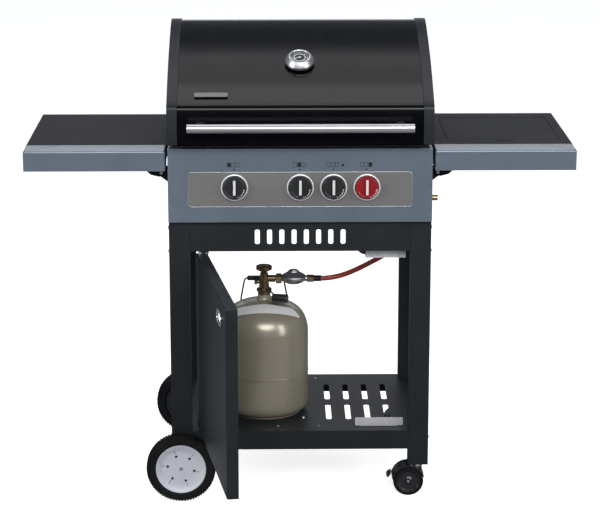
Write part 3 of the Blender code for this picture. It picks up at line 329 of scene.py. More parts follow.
def finish(name):
    """The material of that name, made the first time it is asked for."""
    # The frame already holds a plain material of each slot's name, so a finish has a name of its own.
    title = name + "_finish"
    made = bpy.data.materials.get(title)
    if made:
        return made
    effect_name, grain, spread, roughness, metallic, depth, coat, dust, specular = FINISHES[name]
    base = Vector(getattr(bpy.context.scene.grill_colours, name))
    made = bpy.data.materials.new(title)
    made.use_nodes = True
    tree = made.node_tree
    link = tree.links.new
    shader = tree.nodes["Principled BSDF"]
    shader.inputs["Metallic"].default_value = metallic
    shader.inputs["Coat Weight"].default_value = coat
    shader.inputs["Coat Roughness"].default_value = 0.06
    shader.inputs["Specular IOR Level"].default_value = specular
    place = tree.nodes.new("ShaderNodeTexCoord")
    pattern = tree.nodes.new("ShaderNodeGroup")
    pattern.node_tree = effect(effect_name)
    pattern.inputs["Grain"].default_value = grain
    link(place.outputs["Object"], pattern.inputs["Position"])
    tones = tree.nodes.new("ShaderNodeMix")
    tones.data_type = "RGBA"
    tones.inputs["A"].default_value = (*(base * (1 - spread)), 1)
    tones.inputs["B"].default_value = (*(base * (1 + spread)), 1)
    link(pattern.outputs["Tone"], tones.inputs["Factor"])
    specks = tree.nodes.new("ShaderNodeGroup")
    specks.node_tree = effect("dust")
    specks.inputs["Amount"].default_value = dust
    link(place.outputs["Object"], specks.inputs["Position"])
    dusty = tree.nodes.new("ShaderNodeMix")
    dusty.data_type = "RGBA"
    dusty.inputs["B"].default_value = (0.30, 0.29, 0.27, 1)
    link(specks.outputs["Mask"], dusty.inputs["Factor"])
    link(tones.outputs["Result"], dusty.inputs["A"])
    link(dusty.outputs["Result"], shader.inputs["Base Color"])
    gloss = tree.nodes.new("ShaderNodeMapRange")
    gloss.inputs["To Min"].default_value, gloss.inputs["To Max"].default_value = roughness
    link(pattern.outputs["Tone"], gloss.inputs["Value"])
    link(gloss.outputs["Result"], shader.inputs["Roughness"])
    if depth:
        bump = tree.nodes.new("ShaderNodeBump")
        bump.inputs["Distance"].default_value = depth
        link(pattern.outputs["Height"], bump.inputs["Height"])
        link(bump.outputs["Normal"], shader.inputs["Normal"])
    return made


# Shapes


def new_shape():
    return bmesh.new()


def spread_between(low, high):
    """The matrix that turns a unit cube into the box between two corners."""
    low, high = Vector(low), Vector(high)
    return Matrix.LocRotScale((low + high) / 2, None, high - low)


def outside_edges(faces, steepest=radians(30)):
    edges = {edge for face in faces for edge in face.edges}
    return [edge for edge in edges if len(edge.link_faces) == 2 and edge.calc_face_angle(0) > steepest]


def soften(bm, edges, by, segments=2):
    if by > 0 and edges:
        bmesh.ops.bevel(
            bm, geom=edges, offset=by, offset_type="OFFSET", segments=segments, profile=0.5,
            affect="EDGES", material=-1, clamp_overlap=True,
        )


def add_block(bm, low, high, round_by=0.0, segments=2):
    """A block between two corners, with its edges rounded."""
    before = set(bm.verts)
    made = bmesh.ops.create_cube(bm, size=1, matrix=spread_between(low, high))["verts"]
    faces = {face for vert in made for face in vert.link_faces}
    soften(bm, outside_edges(faces), round_by, segments)
    return [vert for vert in bm.verts if vert not in before]


def aim(bm, verts, direction, centre):
    """Turns verts from the Z axis to that direction, and moves them to centre."""
    turn = Z.rotation_difference(Vector(direction)).to_matrix().to_4x4()
    bmesh.ops.transform(bm, matrix=Matrix.Translation(Vector(centre)) @ turn, verts=verts)


def add_lathe(bm, centre, direction, profile, steps=48, angle=2 * pi, start=0.0):
    """Turns (radius, height) points about an axis. A profile with both ends on the axis comes out closed."""
    before = set(bm.verts)
    line = [bm.verts.new((radius * cos(start), radius * sin(start), height)) for radius, height in profile]
    edges = [bm.edges.new(pair) for pair in zip(line, line[1:])]
    whole = angle >= 2 * pi
    bmesh.ops.spin(bm, geom=line + edges, cent=(0, 0, 0), axis=Z, angle=angle, steps=steps, use_merge=whole)
    made = [vert for vert in bm.verts if vert not in before]
    bmesh.ops.remove_doubles(bm, verts=made, dist=1e-6)
    made = [vert for vert in bm.verts if vert not in before]
    aim(bm, made, direction, centre)
    return made


def add_rod(bm, start, end, radius, round_by=0.0, sides=24):
    """A round bar between two points, with rounded rims."""
    start, end = Vector(start), Vector(end)
    length = (end - start).length
    edge = min(round_by, radius * 0.9, length * 0.45)
    profile = [(0, 0), (radius - edge, 0)]
    if edge:
        profile += [(radius - edge * 0.29, edge * 0.29), (radius, edge), (radius, length - edge)]
        profile += [(radius - edge * 0.29, length - edge * 0.29)]
    else:
        profile += [(radius, length)]
    profile += [(radius - edge, length), (0, length)]
    return add_lathe(bm, start, end - start, profile, sides)


def add_prism(bm, direction, start, end, outline, round_by=0.0, segments=2):
    """A plate whose outline is drawn across the X, Y or Z axis, from start to end along that axis."""
    before = set(bm.verts)
    corner = {
        "X": lambda u, v: (start, u, v),
        "Y": lambda u, v: (u, start, v),
        "Z": lambda u, v: (u, v, start),
    }
    face = bm.faces.new([bm.verts.new(corner[direction](u, v)) for u, v in outline])
    grown = bmesh.ops.extrude_face_region(bm, geom=[face])["geom"]
    step = {"X": X, "Y": Y, "Z": Z}[direction] * (end - start)
    bmesh.ops.translate(bm, verts=[item for item in grown if isinstance(item, bmesh.types.BMVert)], vec=step)
    made = [vert for vert in bm.verts if vert not in before]
    faces = list({face for vert in made for face in vert.link_faces})
    bmesh.ops.recalc_face_normals(bm, faces=faces)
    if round_by:
        caps = [f for f in faces if abs(abs(f.normal.dot(step.normalized())) - 1) < 0.01]
        rims = {edge for cap in caps for edge in cap.edges}
        soften(bm, list(rims), round_by, segments)
    return [vert for vert in bm.verts if vert not in before]


def sector(place, half_turn):
    """The number of the slice round the Z axis that a place lies in, with half_turn slices to half a turn."""
    return int((place.to_2d().angle_signed(Vector((1, 0))) + pi) / pi * half_turn)


def rounded_outline(low_u, low_v, high_u, high_v, radius, steps=5):
    corners = (
        (high_u - radius, high_v - radius, 0), (low_u + radius, high_v - radius, 90),
        (low_u + radius, low_v + radius, 180), (high_u - radius, low_v + radius, 270),
    )
    return [
        (u + radius * cos(radians(first + 90 * i / steps)), v + radius * sin(radians(first + 90 * i / steps)))
        for u, v, first in corners
        for i in range(steps + 1)
    ]


def smooth_line(points, per_span):
    """Points of a smooth curve through the given points, with straight ends."""
    route = [Vector(point) for point in points]
    padded = [2 * route[0] - route[1], *route, 2 * route[-1] - route[-2]]
    made = []
    for i in range(1, len(padded) - 2):
        a, b, c, d = padded[i - 1 : i + 3]
        for step in range(per_span):
            t = step / per_span
            curve = 2 * b + (c - a) * t + (2 * a - 5 * b + 4 * c - d) * t**2 + (3 * b - a - 3 * c + d) * t**3
            made.append(0.5 * curve)
    return made + [route[-1]]


def add_tube(bm, points, radius, sides=16):
    """A round wire or pipe along a line of points, closed at both ends."""
    route = [Vector(point) for point in points]
    before = set(bm.verts)
    ring = bmesh.ops.create_circle(bm, cap_ends=True, radius=radius, segments=sides)["verts"]
    heading = (route[1] - route[0]).normalized()
    aim(bm, ring, heading, route[0])
    cap = ring[0].link_faces[0]
    for i in range(1, len(route)):
        after = route[min(i + 1, len(route) - 1)] - route[i - 1]
        onward = after.normalized()
        grown = bmesh.ops.extrude_face_region(bm, geom=[cap])["geom"]
        moved = [item for item in grown if isinstance(item, bmesh.types.BMVert)]
        new_cap = [item for item in grown if isinstance(item, bmesh.types.BMFace)][0]
        turn = heading.rotation_difference(onward).to_matrix().to_4x4()
        place = Matrix.Translation(route[i]) @ turn @ Matrix.Translation(-route[i - 1])
        bmesh.ops.transform(bm, matrix=place, verts=moved)
        if i > 1:
            bmesh.ops.delete(bm, geom=[cap], context="FACES_ONLY")
        cap, heading = new_cap, onward
    made = [vert for vert in bm.verts if vert not in before]
    bmesh.ops.recalc_face_normals(bm, faces=list({face for vert in made for face in vert.link_faces}))
    return made


def folded_sheet(low, high, open_sides, fold, wall, segments=4):
    """A sheet-metal tray or hood: a box without its open sides, its folds rounded, with a wall inwards."""
    bm = new_shape()
    bmesh.ops.create_cube(bm, size=1, matrix=spread_between(low, high))
    bm.normal_update()
    gone = [face for face in bm.faces if any(face.normal.dot(Vector(side)) > 0.9 for side in open_sides)]
    bmesh.ops.delete(bm, geom=gone, context="FACES")
    soften(bm, [edge for edge in bm.edges if len(edge.link_faces) == 2], fold, segments)
    bmesh.ops.solidify(bm, geom=bm.faces[:], thickness=wall)
    return bm


def piece(name, bm, look, body, replaced=(), sharp=38, lift=True):
    """Makes a finished piece of a shape: merged, facing outwards, in its place, with its finish and body."""
    bmesh.ops.remove_doubles(bm, verts=bm.verts, dist=1e-6)
    if lift:
        bmesh.ops.translate(bm, verts=bm.verts, vec=Y * FRONT_Y)
    mesh = bpy.data.meshes.new(name)
    bmesh.ops.recalc_face_normals(bm, faces=bm.faces)
    bm.to_mesh(mesh)
    bm.free()
    mesh.shade_smooth()
    mesh.set_sharp_from_angle(angle=radians(sharp))
    mesh.materials.append(finish(look))
    made = bpy.data.objects.new(name, mesh)
    bpy.context.scene.collection.objects.link(made)
    even_shading(made)
    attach(made, body)
    if replaced:
        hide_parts(*replaced)
    return made


def even_shading(made):
    """Large flat faces keep their own shading next to their rounded edges."""
    shading = made.modifiers.new("even_shading", "WEIGHTED_NORMAL")
    shading.keep_sharp = True


def carve(made, *cutters):
    """Cuts closed shapes out of a finished piece, and keeps only the result."""
    made.modifiers.clear()
    for i, bm in enumerate(cutters):
        bmesh.ops.recalc_face_normals(bm, faces=bm.faces)
        bmesh.ops.translate(bm, verts=bm.verts, vec=Y * FRONT_Y)
        tool_mesh = bpy.data.meshes.new(f"{made.name}_cutter_{i}")
        bm.to_mesh(tool_mesh)
        bm.free()
        tool = bpy.data.objects.new(tool_mesh.name, tool_mesh)
        bpy.context.scene.collection.objects.link(tool)
        modifier = made.modifiers.new("cut", "BOOLEAN")
        modifier.operation, modifier.solver, modifier.object = "DIFFERENCE", "EXACT", tool
        bpy.context.view_layer.update()
        graph = bpy.context.evaluated_depsgraph_get()
        result = bpy.data.meshes.new_from_object(made.evaluated_get(graph))
        made.modifiers.remove(modifier)
        old, made.data = made.data, result
        result.name = made.name
        bpy.data.meshes.remove(old)
        bpy.data.objects.remove(tool)
        bpy.data.meshes.remove(tool_mesh)
    made.data.shade_smooth()
    made.data.set_sharp_from_angle(angle=radians(38))
    even_shading(made)
    return made


def formed(node, look, by=None, segments=2, sharp=38):
    """A CAD node drawn again with its edges rounded, as a piece that stands for the node."""
    bm = new_shape()
    bm.from_mesh(frame["nodes"][node].data)
    bmesh.ops.remove_doubles(bm, verts=bm.verts, dist=1e-5)
    bmesh.ops.dissolve_limit(bm, angle_limit=radians(0.5), verts=bm.verts, edges=bm.edges)
    bm.normal_update()
    width = bpy.context.scene.grill_sizes.edge if by is None else by
    soften(bm, outside_edges(bm.faces, radians(50)), width, segments)
    body = frame["nodes"][node]["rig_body"]
    return piece(node + "_formed", bm, look, body, [node], sharp, lift=False)


# The camera, the hose and the stage


class GRILL_OT_camera(bpy.types.Operator):
    """Place the camera in front of the grill and a little above it"""

    bl_idname = "grill.camera"
    bl_label = "Camera"

    def execute(self, context):
        data = bpy.data.cameras.new("camera")
        data.lens, data.sensor_width, data.clip_end = 130.26, 36.0, 200.0
        made = bpy.data.objects.new("camera", data)
        context.scene.collection.objects.link(made)
        looking = Vector((0.0144, 0.9687, -0.2477))
        made.location = (-0.0783, -5.2207 + FRONT_Y, 1.9566)
        made.rotation_mode = "QUATERNION"
        made.rotation_quaternion = looking.to_track_quat("-Z", "Y")
        context.scene.camera = made
        return {"FINISHED"}


class GRILL_OT_gas_hose(bpy.types.Operator):
    """Lead the gas hose from the regulator up to the gas rail"""

    bl_idname = "grill.gas_hose"
    bl_label = "Gas hose"

    def execute(self, context):
        route = [point + Y * FRONT_Y for point in smooth_line(HOSE_POINTS, 4)]
        curve = bpy.data.curves.new("gas_hose_bent", "CURVE")
        curve.dimensions = "3D"
        curve.bevel_depth, curve.bevel_resolution, curve.use_fill_caps = HOSE_DIAMETER / 2, 5, True
        spline = curve.splines.new("POLY")
        spline.points.add(len(route) - 1)
        for point, place in zip(spline.points, route):
            point.co = (*place, 1)
        spline.use_smooth = True
        curve.materials.append(finish("hose_red"))
        hose = bpy.data.objects.new("gas_hose_bent", curve)
        context.scene.collection.objects.link(hose)
        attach(hose, "root")
        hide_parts("gas_hose")
        return {"FINISHED"}


def add_light(name, place, target, width, height, power, spread):
    data = bpy.data.lights.new(name, "AREA")
    data.spread = radians(spread)
    data.shape, data.size, data.size_y, data.energy = "RECTANGLE", width, height, power
    made = bpy.data.objects.new(name, data)
    bpy.context.scene.collection.objects.link(made)
    made.location = place
    made.visible_camera = False
    made.rotation_mode = "QUATERNION"
    made.rotation_quaternion = (Vector(target) - Vector(place)).to_track_quat("-Z", "Y")
    return made


# Each light: its name, place and target, its width and height, its power in watts and its spread in degrees.
LIGHTS = (
    ("top_softbox", (0.0, 0.42, 3.1), (0, 0.40, 0.9), 3.2, 0.45, 12, 180),
    ("top_softbox_rear", (0.0, 1.05, 3.1), (0, 0.95, 0.9), 3.2, 0.8, 10, 180),
    ("back_strip", (0.0, 4.2, 2.1), (0, 0.1, 0.9), 4.0, 0.7, 12, 180),
    ("front_softbox", (0.5, -6.2, 4.4), (0, 0.1, 0.4), 5.5, 2.6, 95, 90),
    ("left_softbox", (-3.0, -2.0, 1.9), (0, 0.1, 0.6), 1.2, 2.2, 60, 180),
    ("right_softbox", (2.8, -2.4, 1.8), (0, 0.1, 0.6), 0.9, 2.0, 42, 180),
)
FLOOR_SIZE = 60


def split_by_ray(tree, to_camera, to_the_rest, output):
    """Shows one shader to the camera, and another one to the light that the grill reflects."""
    path = tree.nodes.new("ShaderNodeLightPath")
    choice = tree.nodes.new("ShaderNodeMixShader")
    tree.links.new(path.outputs["Is Camera Ray"], choice.inputs[0])
    tree.links.new(to_the_rest, choice.inputs[1])
    tree.links.new(to_camera, choice.inputs[2])
    tree.links.new(choice.outputs[0], output.inputs["Surface"])


class GRILL_OT_stage(bpy.types.Operator):
    """Lay a plain pale floor and set soft studio light"""

    bl_idname = "grill.stage"
    bl_label = "Stage"

    def execute(self, context):
        scene = context.scene
        scene.view_settings.view_transform = "Standard"
        bm = new_shape()
        bmesh.ops.create_grid(bm, x_segments=1, y_segments=1, size=FLOOR_SIZE)
        mesh = bpy.data.meshes.new("floor")
        bm.to_mesh(mesh)
        bm.free()
        floor = bpy.data.objects.new("floor", mesh)
        scene.collection.objects.link(floor)
        mesh.materials.append(self.floor_paint())
        self.air(scene)
        for light in LIGHTS:
            add_light(*light)
        return {"FINISHED"}

    def floor_paint(self):
        """Pale, and darker for what it lends to the grill's reflections."""
        made = bpy.data.materials.new("floor_paint")
        made.use_nodes = True
        tree = made.node_tree
        seen = tree.nodes["Principled BSDF"]
        seen.inputs["Base Color"].default_value = (0.86, 0.86, 0.86, 1)
        seen.inputs["Roughness"].default_value = 0.9
        seen.inputs["Specular IOR Level"].default_value = 0.0
        seen.inputs["Emission Color"].default_value = (1, 1, 1, 1)
        seen.inputs["Emission Strength"].default_value = 0.80
        lent = tree.nodes.new("ShaderNodeBsdfDiffuse")
        lent.inputs["Color"].default_value = (0.30, 0.30, 0.31, 1)
        split_by_ray(tree, seen.outputs[0], lent.outputs[0], tree.nodes["Material Output"])
        return made

    def air(self, scene):
        """The studio round the grill: white to the camera, dim and cool to everything else."""
        world = bpy.data.worlds.new("studio_air")
        scene.world = world
        world.use_nodes = True
        tree = world.node_tree
        lit = tree.nodes["Background"]
        lit.inputs["Color"].default_value = (0.80, 0.86, 1.0, 1)
        lit.inputs["Strength"].default_value = 0.22
        shown = tree.nodes.new("ShaderNodeBackground")
        shown.inputs["Color"].default_value = (1, 1, 1, 1)
        split_by_ray(tree, shown.outputs[0], lit.outputs[0], tree.nodes["World Output"])


# The cart


def add_screw(bm, place, direction, radius=0.004, height=0.0022):
    """A domed screw head with a recess."""
    profile = [
        (0, height * 0.45), (radius * 0.38, height * 0.45), (radius * 0.42, height),
        (radius * 0.75, height * 0.85), (radius, height * 0.3), (radius, -0.0005), (0, -0.0005),
    ]
    return add_lathe(bm, place, direction, profile, 16)


class GRILL_OT_cart(bpy.types.Operator):
    """Form the posts, beams, side panels and bottom shelf"""

    bl_idname = "grill.cart"
    bl_label = "Cart"

    def execute(self, context):
        for end in ("front", "rear"):
            for side, _ in SIDES:
                formed(f"leg_{end}_{side}", "anthracite_paint")
            formed(f"{end}_beam", "anthracite_paint", 0.0006, 3)
        for side, _ in SIDES:
            formed(f"side_panel_{side}", "anthracite_paint")
        formed("bottom_shelf", "anthracite_paint", 0.0006, 3)
        formed("wheel_axle", "zinc")
        self.screws()
        return {"FINISHED"}

    def screws(self):
        bm = new_shape()
        for x in (-0.0561, 0.0487):
            add_screw(bm, (x, 0.0505, 0.1734), Z, 0.0042)
            add_screw(bm, (x, 0.455, 0.1734), Z, 0.0042)
        add_screw(bm, (0.0095, 0.118, 0.1734), Z, 0.0055, 0.0035)
        for _, side in SIDES:
            for height in (0.620, 0.655):
                add_screw(bm, (side * 0.283, 0.4946, height), Y, 0.0035, 0.0012)
            for height in (0.150, 0.640, 0.700):
                for y in (0.034, 0.474):
                    add_screw(bm, (side * 0.3257, y, height), X * side, 0.005, 0.003)
        piece("cart_screws", bm, "zinc", "root")


class GRILL_OT_wheels(bpy.types.Operator):
    """Turn the two wheels with their treads and covers"""

    bl_idname = "grill.wheels"
    bl_label = "Wheels"

    def execute(self, context):
        for end, facing in (("front", -1), ("rear", 1)):
            low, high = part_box(f"tyre_{end}")
            centre = (low + high) / 2 - Y * FRONT_Y
            half = (high.y - low.y) / 2
            self.tyre(context, end, centre, half)
            self.cover(end, centre, half, facing)
        return {"FINISHED"}

    def tyre(self, context, end, centre, half):
        radius = TYRE_RADIUS - TREAD_DEPTH
        profile = [
            (0.063, -half * 0.80), (0.0655, -half * 0.97), (0.071, -half), (0.079, -half * 0.96),
            (radius - 0.004, -half * 0.86), (radius - 0.0008, -half * 0.70), (radius, -half * 0.55),
            (radius, half * 0.55), (radius - 0.0008, half * 0.70), (radius - 0.004, half * 0.86),
            (0.079, half * 0.96), (0.071, half), (0.0655, half * 0.97), (0.063, half * 0.80),
            (0.063, -half * 0.80),
        ]
        bm = new_shape()
        blocks = context.scene.grill_sizes.tyre_blocks
        add_lathe(bm, (0, 0, 0), Z, profile, blocks * 2)
        bmesh.ops.recalc_face_normals(bm, faces=bm.faces)
        bm.normal_update()
        tread = []
        for face in bm.faces:
            middle = face.calc_center_median()
            outward = Vector((middle.x, middle.y, 0)).normalized()
            if face.normal.dot(outward) > 0.55 and sector(outward, blocks) % 2:
                tread.append(face)
        bmesh.ops.inset_individual(bm, faces=tread, thickness=0.0003, depth=TREAD_DEPTH)
        aim(bm, bm.verts, Y, centre)
        piece(f"tyre_{end}_treaded", bm, "tyre_rubber", f"wheel_{end}", [f"tyre_{end}"], 25)

    def cover(self, end, centre, half, facing):
        face = half * 0.90
        profile = [
            (0, face - 0.0042), (0.010, face - 0.0042), (0.0108, face - 0.0047), (0.0116, face - 0.0045),
            (0.030, face - 0.0045), (0.045, face - 0.0045), (0.054, face - 0.002), (0.0595, face + 0.0005),
            (0.0625, face + 0.001), (0.0640, face - 0.001), (0.0642, face - 0.006), (0.050, face - 0.012),
            (0.012, face - 0.012), (0.012, -half * 0.8), (0, -half * 0.8),
        ]
        bm = new_shape()
        add_lathe(bm, (0, 0, 0), Z, profile, 144)
        bmesh.ops.recalc_face_normals(bm, faces=bm.faces)
        bm.normal_update()
        ribs = []
        for item in bm.faces:
            middle = item.calc_center_median()
            if 0.046 < middle.to_2d().length < 0.054 and item.normal.z > 0.7 and sector(middle, 72) % 2:
                ribs.append(item)
        bmesh.ops.inset_individual(bm, faces=ribs, thickness=0.0003, depth=-0.0006)
        aim(bm, bm.verts, Y * facing, centre)
        made = piece(
            f"wheel_cover_{end}", bm, "hub_grey", f"wheel_{end}", [f"wheel_disc_{end}"], 30
        )
        holes = new_shape()
        for i in range(6):
            turn = radians(60 * i + 50)
            outward = Vector((cos(turn), 0, sin(turn)))
            spot = centre + 0.034 * outward + Y * facing * face
            add_rod(holes, spot - Y * facing * 0.0135, spot + Y * facing * 0.004, 0.0038, 0, 20)
            slot = add_block(holes, (0.040, -0.0135, -0.0007), (0.050, 0.004, 0.0007))
            if facing < 0:
                bmesh.ops.rotate(holes, verts=slot, cent=(0, 0, 0), matrix=Matrix.Rotation(pi, 3, "X"))
            bmesh.ops.rotate(holes, verts=slot, cent=(0, 0, 0), matrix=Matrix.Rotation(-turn, 3, "Y"))
            bmesh.ops.translate(holes, verts=slot, vec=centre + Y * facing * face)
        carve(made, holes)
        back = new_shape()
        wall = [
            (0.0, face - 0.0145), (0.0615, face - 0.0145), (0.0625, -half * 0.7), (0.0615, -half * 0.7),
            (0.0, -half * 0.5)
        ]
        add_lathe(back, centre, Y * facing, wall, 64)
        piece(f"wheel_core_{end}", back, "black_plastic", f"wheel_{end}")


class GRILL_OT_casters(bpy.types.Operator):
    """Form the two casters with their brake pedals"""

    bl_idname = "grill.casters"
    bl_label = "Casters"

    def execute(self, context):
        for end in ("front", "rear"):
            formed(f"caster_hood_{end}", "black_plastic", 0.0012, 3)
            formed(f"caster_brake_{end}", "black_plastic", 0.002, 3)
            low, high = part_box(f"caster_wheel_{end}")
            centre = (low + high) / 2 - Y * FRONT_Y
            self.wheel(end, centre, high.y - centre.y - FRONT_Y, (high.z - low.z) / 2)
            self.stem(end)
        return {"FINISHED"}

    def wheel(self, end, centre, half, radius):
        """Two narrow wheels on one axle, each a tyre round a dished disc."""
        rubber, disc = new_shape(), new_shape()
        for facing in (-1, 1):
            tyre = [
                (radius - 0.009, 0.004), (radius - 0.003, 0.004), (radius, 0.008), (radius, half - 0.006),
                (radius - 0.0025, half - 0.002), (radius - 0.007, half - 0.0008),
                (radius - 0.009, half - 0.003), (radius - 0.009, 0.004),
            ]
            add_lathe(rubber, centre, Y * facing, tyre, 56)
            face = [
                (0, half - 0.001), (0.0055, half - 0.001), (0.0065, half - 0.003), (0.012, half - 0.0065),
                (radius - 0.015, half - 0.0065), (radius - 0.0105, half - 0.0025),
                (radius - 0.0088, half - 0.0025), (radius - 0.0088, 0.0045), (0, 0.0045),
            ]
            add_lathe(disc, centre, Y * facing, face, 48)
        body = f"caster_{end}_wheel"
        piece(f"caster_tyre_{end}", rubber, "tyre_rubber", body, [f"caster_wheel_{end}"], 30)
        piece(f"caster_disc_{end}", disc, "black_plastic", body, (), 30)
        bolt = new_shape()
        add_rod(bolt, centre - Y * (half - 0.0003), centre + Y * (half - 0.0003), 0.0032, 0.0006, 20)
        piece(f"caster_bolt_{end}", bolt, "zinc", body)

    def stem(self, end):
        low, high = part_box(f"caster_hood_{end}")
        bm = new_shape()
        place = Vector((0.300, (low.y + high.y) / 2 - FRONT_Y, 0))
        nut = add_lathe(bm, (0, 0, 0), Z, [(0, 0), (0.0095, 0), (0.0095, 0.0042), (0, 0.0042)], 6)
        bmesh.ops.translate(bm, verts=nut, vec=place + Z * 0.0755)
        add_lathe(bm, place + Z * 0.0735, Z, [(0, 0), (0.0125, 0), (0.0125, 0.0018), (0, 0.0018)], 32)
        piece(f"caster_stem_nut_{end}", bm, "zinc", f"caster_{end}")


# The control panel and the knobs


class GRILL_OT_control_panel(bpy.types.Operator):
    """Fold the control panel with its steel plate, chrome rings and pictograms"""

    bl_idname = "grill.control_panel"
    bl_label = "Control panel"

    def execute(self, context):
        sizes = context.scene.grill_sizes
        low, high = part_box("control_panel")
        shift = Y * FRONT_Y
        panel = folded_sheet(low - shift, high - shift, [Y], 0.0035, sizes.sheet, 5)
        piece("control_panel_folded", panel, "blue_grey_metallic", "root", ["control_panel"])
        self.plate()
        self.rings()
        self.marks()
        return {"FINISHED"}

    def plate(self):
        bm = new_shape()
        outline = rounded_outline(-0.276, 0.7605, 0.276, 0.847, 0.007)
        add_prism(bm, "Y", -0.0013, 0.0004, outline, 0.0004)
        piece("panel_plate", bm, "brushed_steel", "root", ["control_inset"])
        rim = new_shape()
        line = rounded_outline(-0.2762, 0.7603, 0.2762, 0.8472, 0.0072)
        add_tube(rim, [(u, -0.0010, v) for u, v in [*line, line[0], line[1]]], 0.0004, 8)
        piece("panel_plate_rim", rim, "zinc", "root")

    def rings(self):
        bm = new_shape()
        for x in KNOB_PLACES:
            profile = [
                (0.0298, 0.0010), (0.0333, 0.0010), (0.0335, 0.0025), (0.0328, 0.0048), (0.0315, 0.0053),
                (0.0303, 0.0048), (0.0298, 0.0030), (0.0298, 0.0010),
            ]
            add_lathe(bm, (x, 0, KNOB_HEIGHT), -Y, profile, 72)
        piece("knob_rings", bm, "satin_chrome", "root")

    def marks(self):
        """Above each knob a row of three boxes that tells which burner it feeds, with its own box filled."""
        bm = new_shape()
        front, back = -0.00025, 0.0006
        for number, x in enumerate(KNOB_PLACES):
            for box in range(3):
                left = x - 0.0172 + box * 0.0105
                filled = box == (0, 1, None, 2)[number]
                if filled:
                    add_block(bm, (left, front, 0.8600), (left + 0.0088, back, 0.8712))
                    continue
                for low, high in (
                    ((left, 0.8600), (left + 0.0088, 0.8609)), ((left, 0.8703), (left + 0.0088, 0.8712)),
                    ((left, 0.8600), (left + 0.0009, 0.8712)),
                    ((left + 0.0079, 0.8600), (left + 0.0088, 0.8712)),
                ):
                    add_block(bm, (low[0], front, low[1]), (high[0], back, high[1]))
            if number == 2:
                flame = [(x + 0.0185, 0.8615), (x + 0.0265, 0.8615), (x + 0.0225, 0.8700)]
                add_prism(bm, "Y", front, back, flame)
            dot = [(0, 0), (0.0021, 0), (0.0021, 0.0008), (0, 0.0008)]
            add_lathe(bm, (x - 0.001, back, 0.8535), -Y, dot, 16)
        piece("panel_marks", bm, "print_black", "root")


class GRILL_OT_knobs(bpy.types.Operator):
    """Mould the four control knobs, the last one red"""

    bl_idname = "grill.knobs"
    bl_label = "Knobs"

    def execute(self, context):
        radius = context.scene.grill_sizes.knob_radius
        for number, x in enumerate(KNOB_PLACES, 1):
            look = "red_plastic" if number == 4 else "black_plastic"
            body = f"knob_{number}"
            bm = new_shape()
            profile = [
                (0, 0.0068), (radius - 0.0015, 0.0068), (radius, 0.0080), (radius, 0.0105),
                (radius - 0.0008, 0.0120), (radius - 0.0030, 0.0180), (radius - 0.0045, 0.0197),
                (radius - 0.0065, 0.0200), (0.0205, 0.0188), (0.0120, 0.0184), (0, 0.0184),
            ]
            add_lathe(bm, (x, 0, KNOB_HEIGHT), -Y, profile, 72)
            grip = add_block(
                bm, (x - 0.0068, -0.0264, KNOB_HEIGHT - 0.0245), (x + 0.0068, -0.0170, KNOB_HEIGHT + 0.0245)
            )
            for vert in grip:
                if vert.co.y < -0.02:
                    vert.co.x = x + (vert.co.x - x) * 0.72
                    vert.co.z = KNOB_HEIGHT + (vert.co.z - KNOB_HEIGHT) * 0.94
            faces = {face for vert in grip for face in vert.link_faces}
            soften(bm, outside_edges(faces), 0.0022, 4)
            piece(f"knob_{number}_moulded", bm, look, body, [f"knob_{number}"], 34)
            bar = new_shape()
            pointer = rounded_outline(
                x - 0.0030, KNOB_HEIGHT - 0.0145, x + 0.0030, KNOB_HEIGHT + 0.0222, 0.0010, 3
            )
            add_prism(bar, "Y", -0.0270, -0.0258, pointer, 0.0002)
            for turn in range(-68, 0, 12):
                reach = 0.0240
                spot = Vector((x + reach * cos(radians(turn)), 0, KNOB_HEIGHT + reach * sin(radians(turn))))
                width = 0.0008 + 0.0011 * (turn + 68) / 60
                dash = add_block(bar, (-0.0009, -0.0206, -width), (0.0009, -0.0180, width))
                turned = Matrix.Rotation(radians(-turn), 4, "Y")
                bmesh.ops.transform(bar, matrix=Matrix.Translation(spot) @ turned, verts=dash)
            piece(f"knob_{number}_pointer", bar, "label_white", body)
            stem = new_shape()
            add_rod(stem, (x, -0.0070, KNOB_HEIGHT), (x, 0.0014, KNOB_HEIGHT), 0.0060, 0.0005)
            piece(f"knob_{number}_stem", stem, "zinc", body)
        return {"FINISHED"}


# The lid


def turn_face_up(bm):
    """Turns an open sheet over if its highest face looks down."""
    bm.normal_update()
    if max(bm.faces, key=lambda face: face.calc_center_median().z).normal.z < 0:
        bmesh.ops.reverse_faces(bm, faces=bm.faces)


def swept_outline(line, low_x, high_x):
    """An open sheet along a line of (depth, height) points, from low_x to high_x, facing outwards."""
    bm = new_shape()
    verts = [bm.verts.new((low_x, y, z)) for y, z in line]
    edges = [bm.edges.new(pair) for pair in zip(verts, verts[1:])]
    swept = bmesh.ops.extrude_edge_only(bm, edges=edges)["geom"]
    swept = [item for item in swept if isinstance(item, bmesh.types.BMVert)]
    bmesh.ops.translate(bm, verts=swept, vec=X * (high_x - low_x))
    bmesh.ops.recalc_face_normals(bm, faces=bm.faces)
    turn_face_up(bm)
    return bm


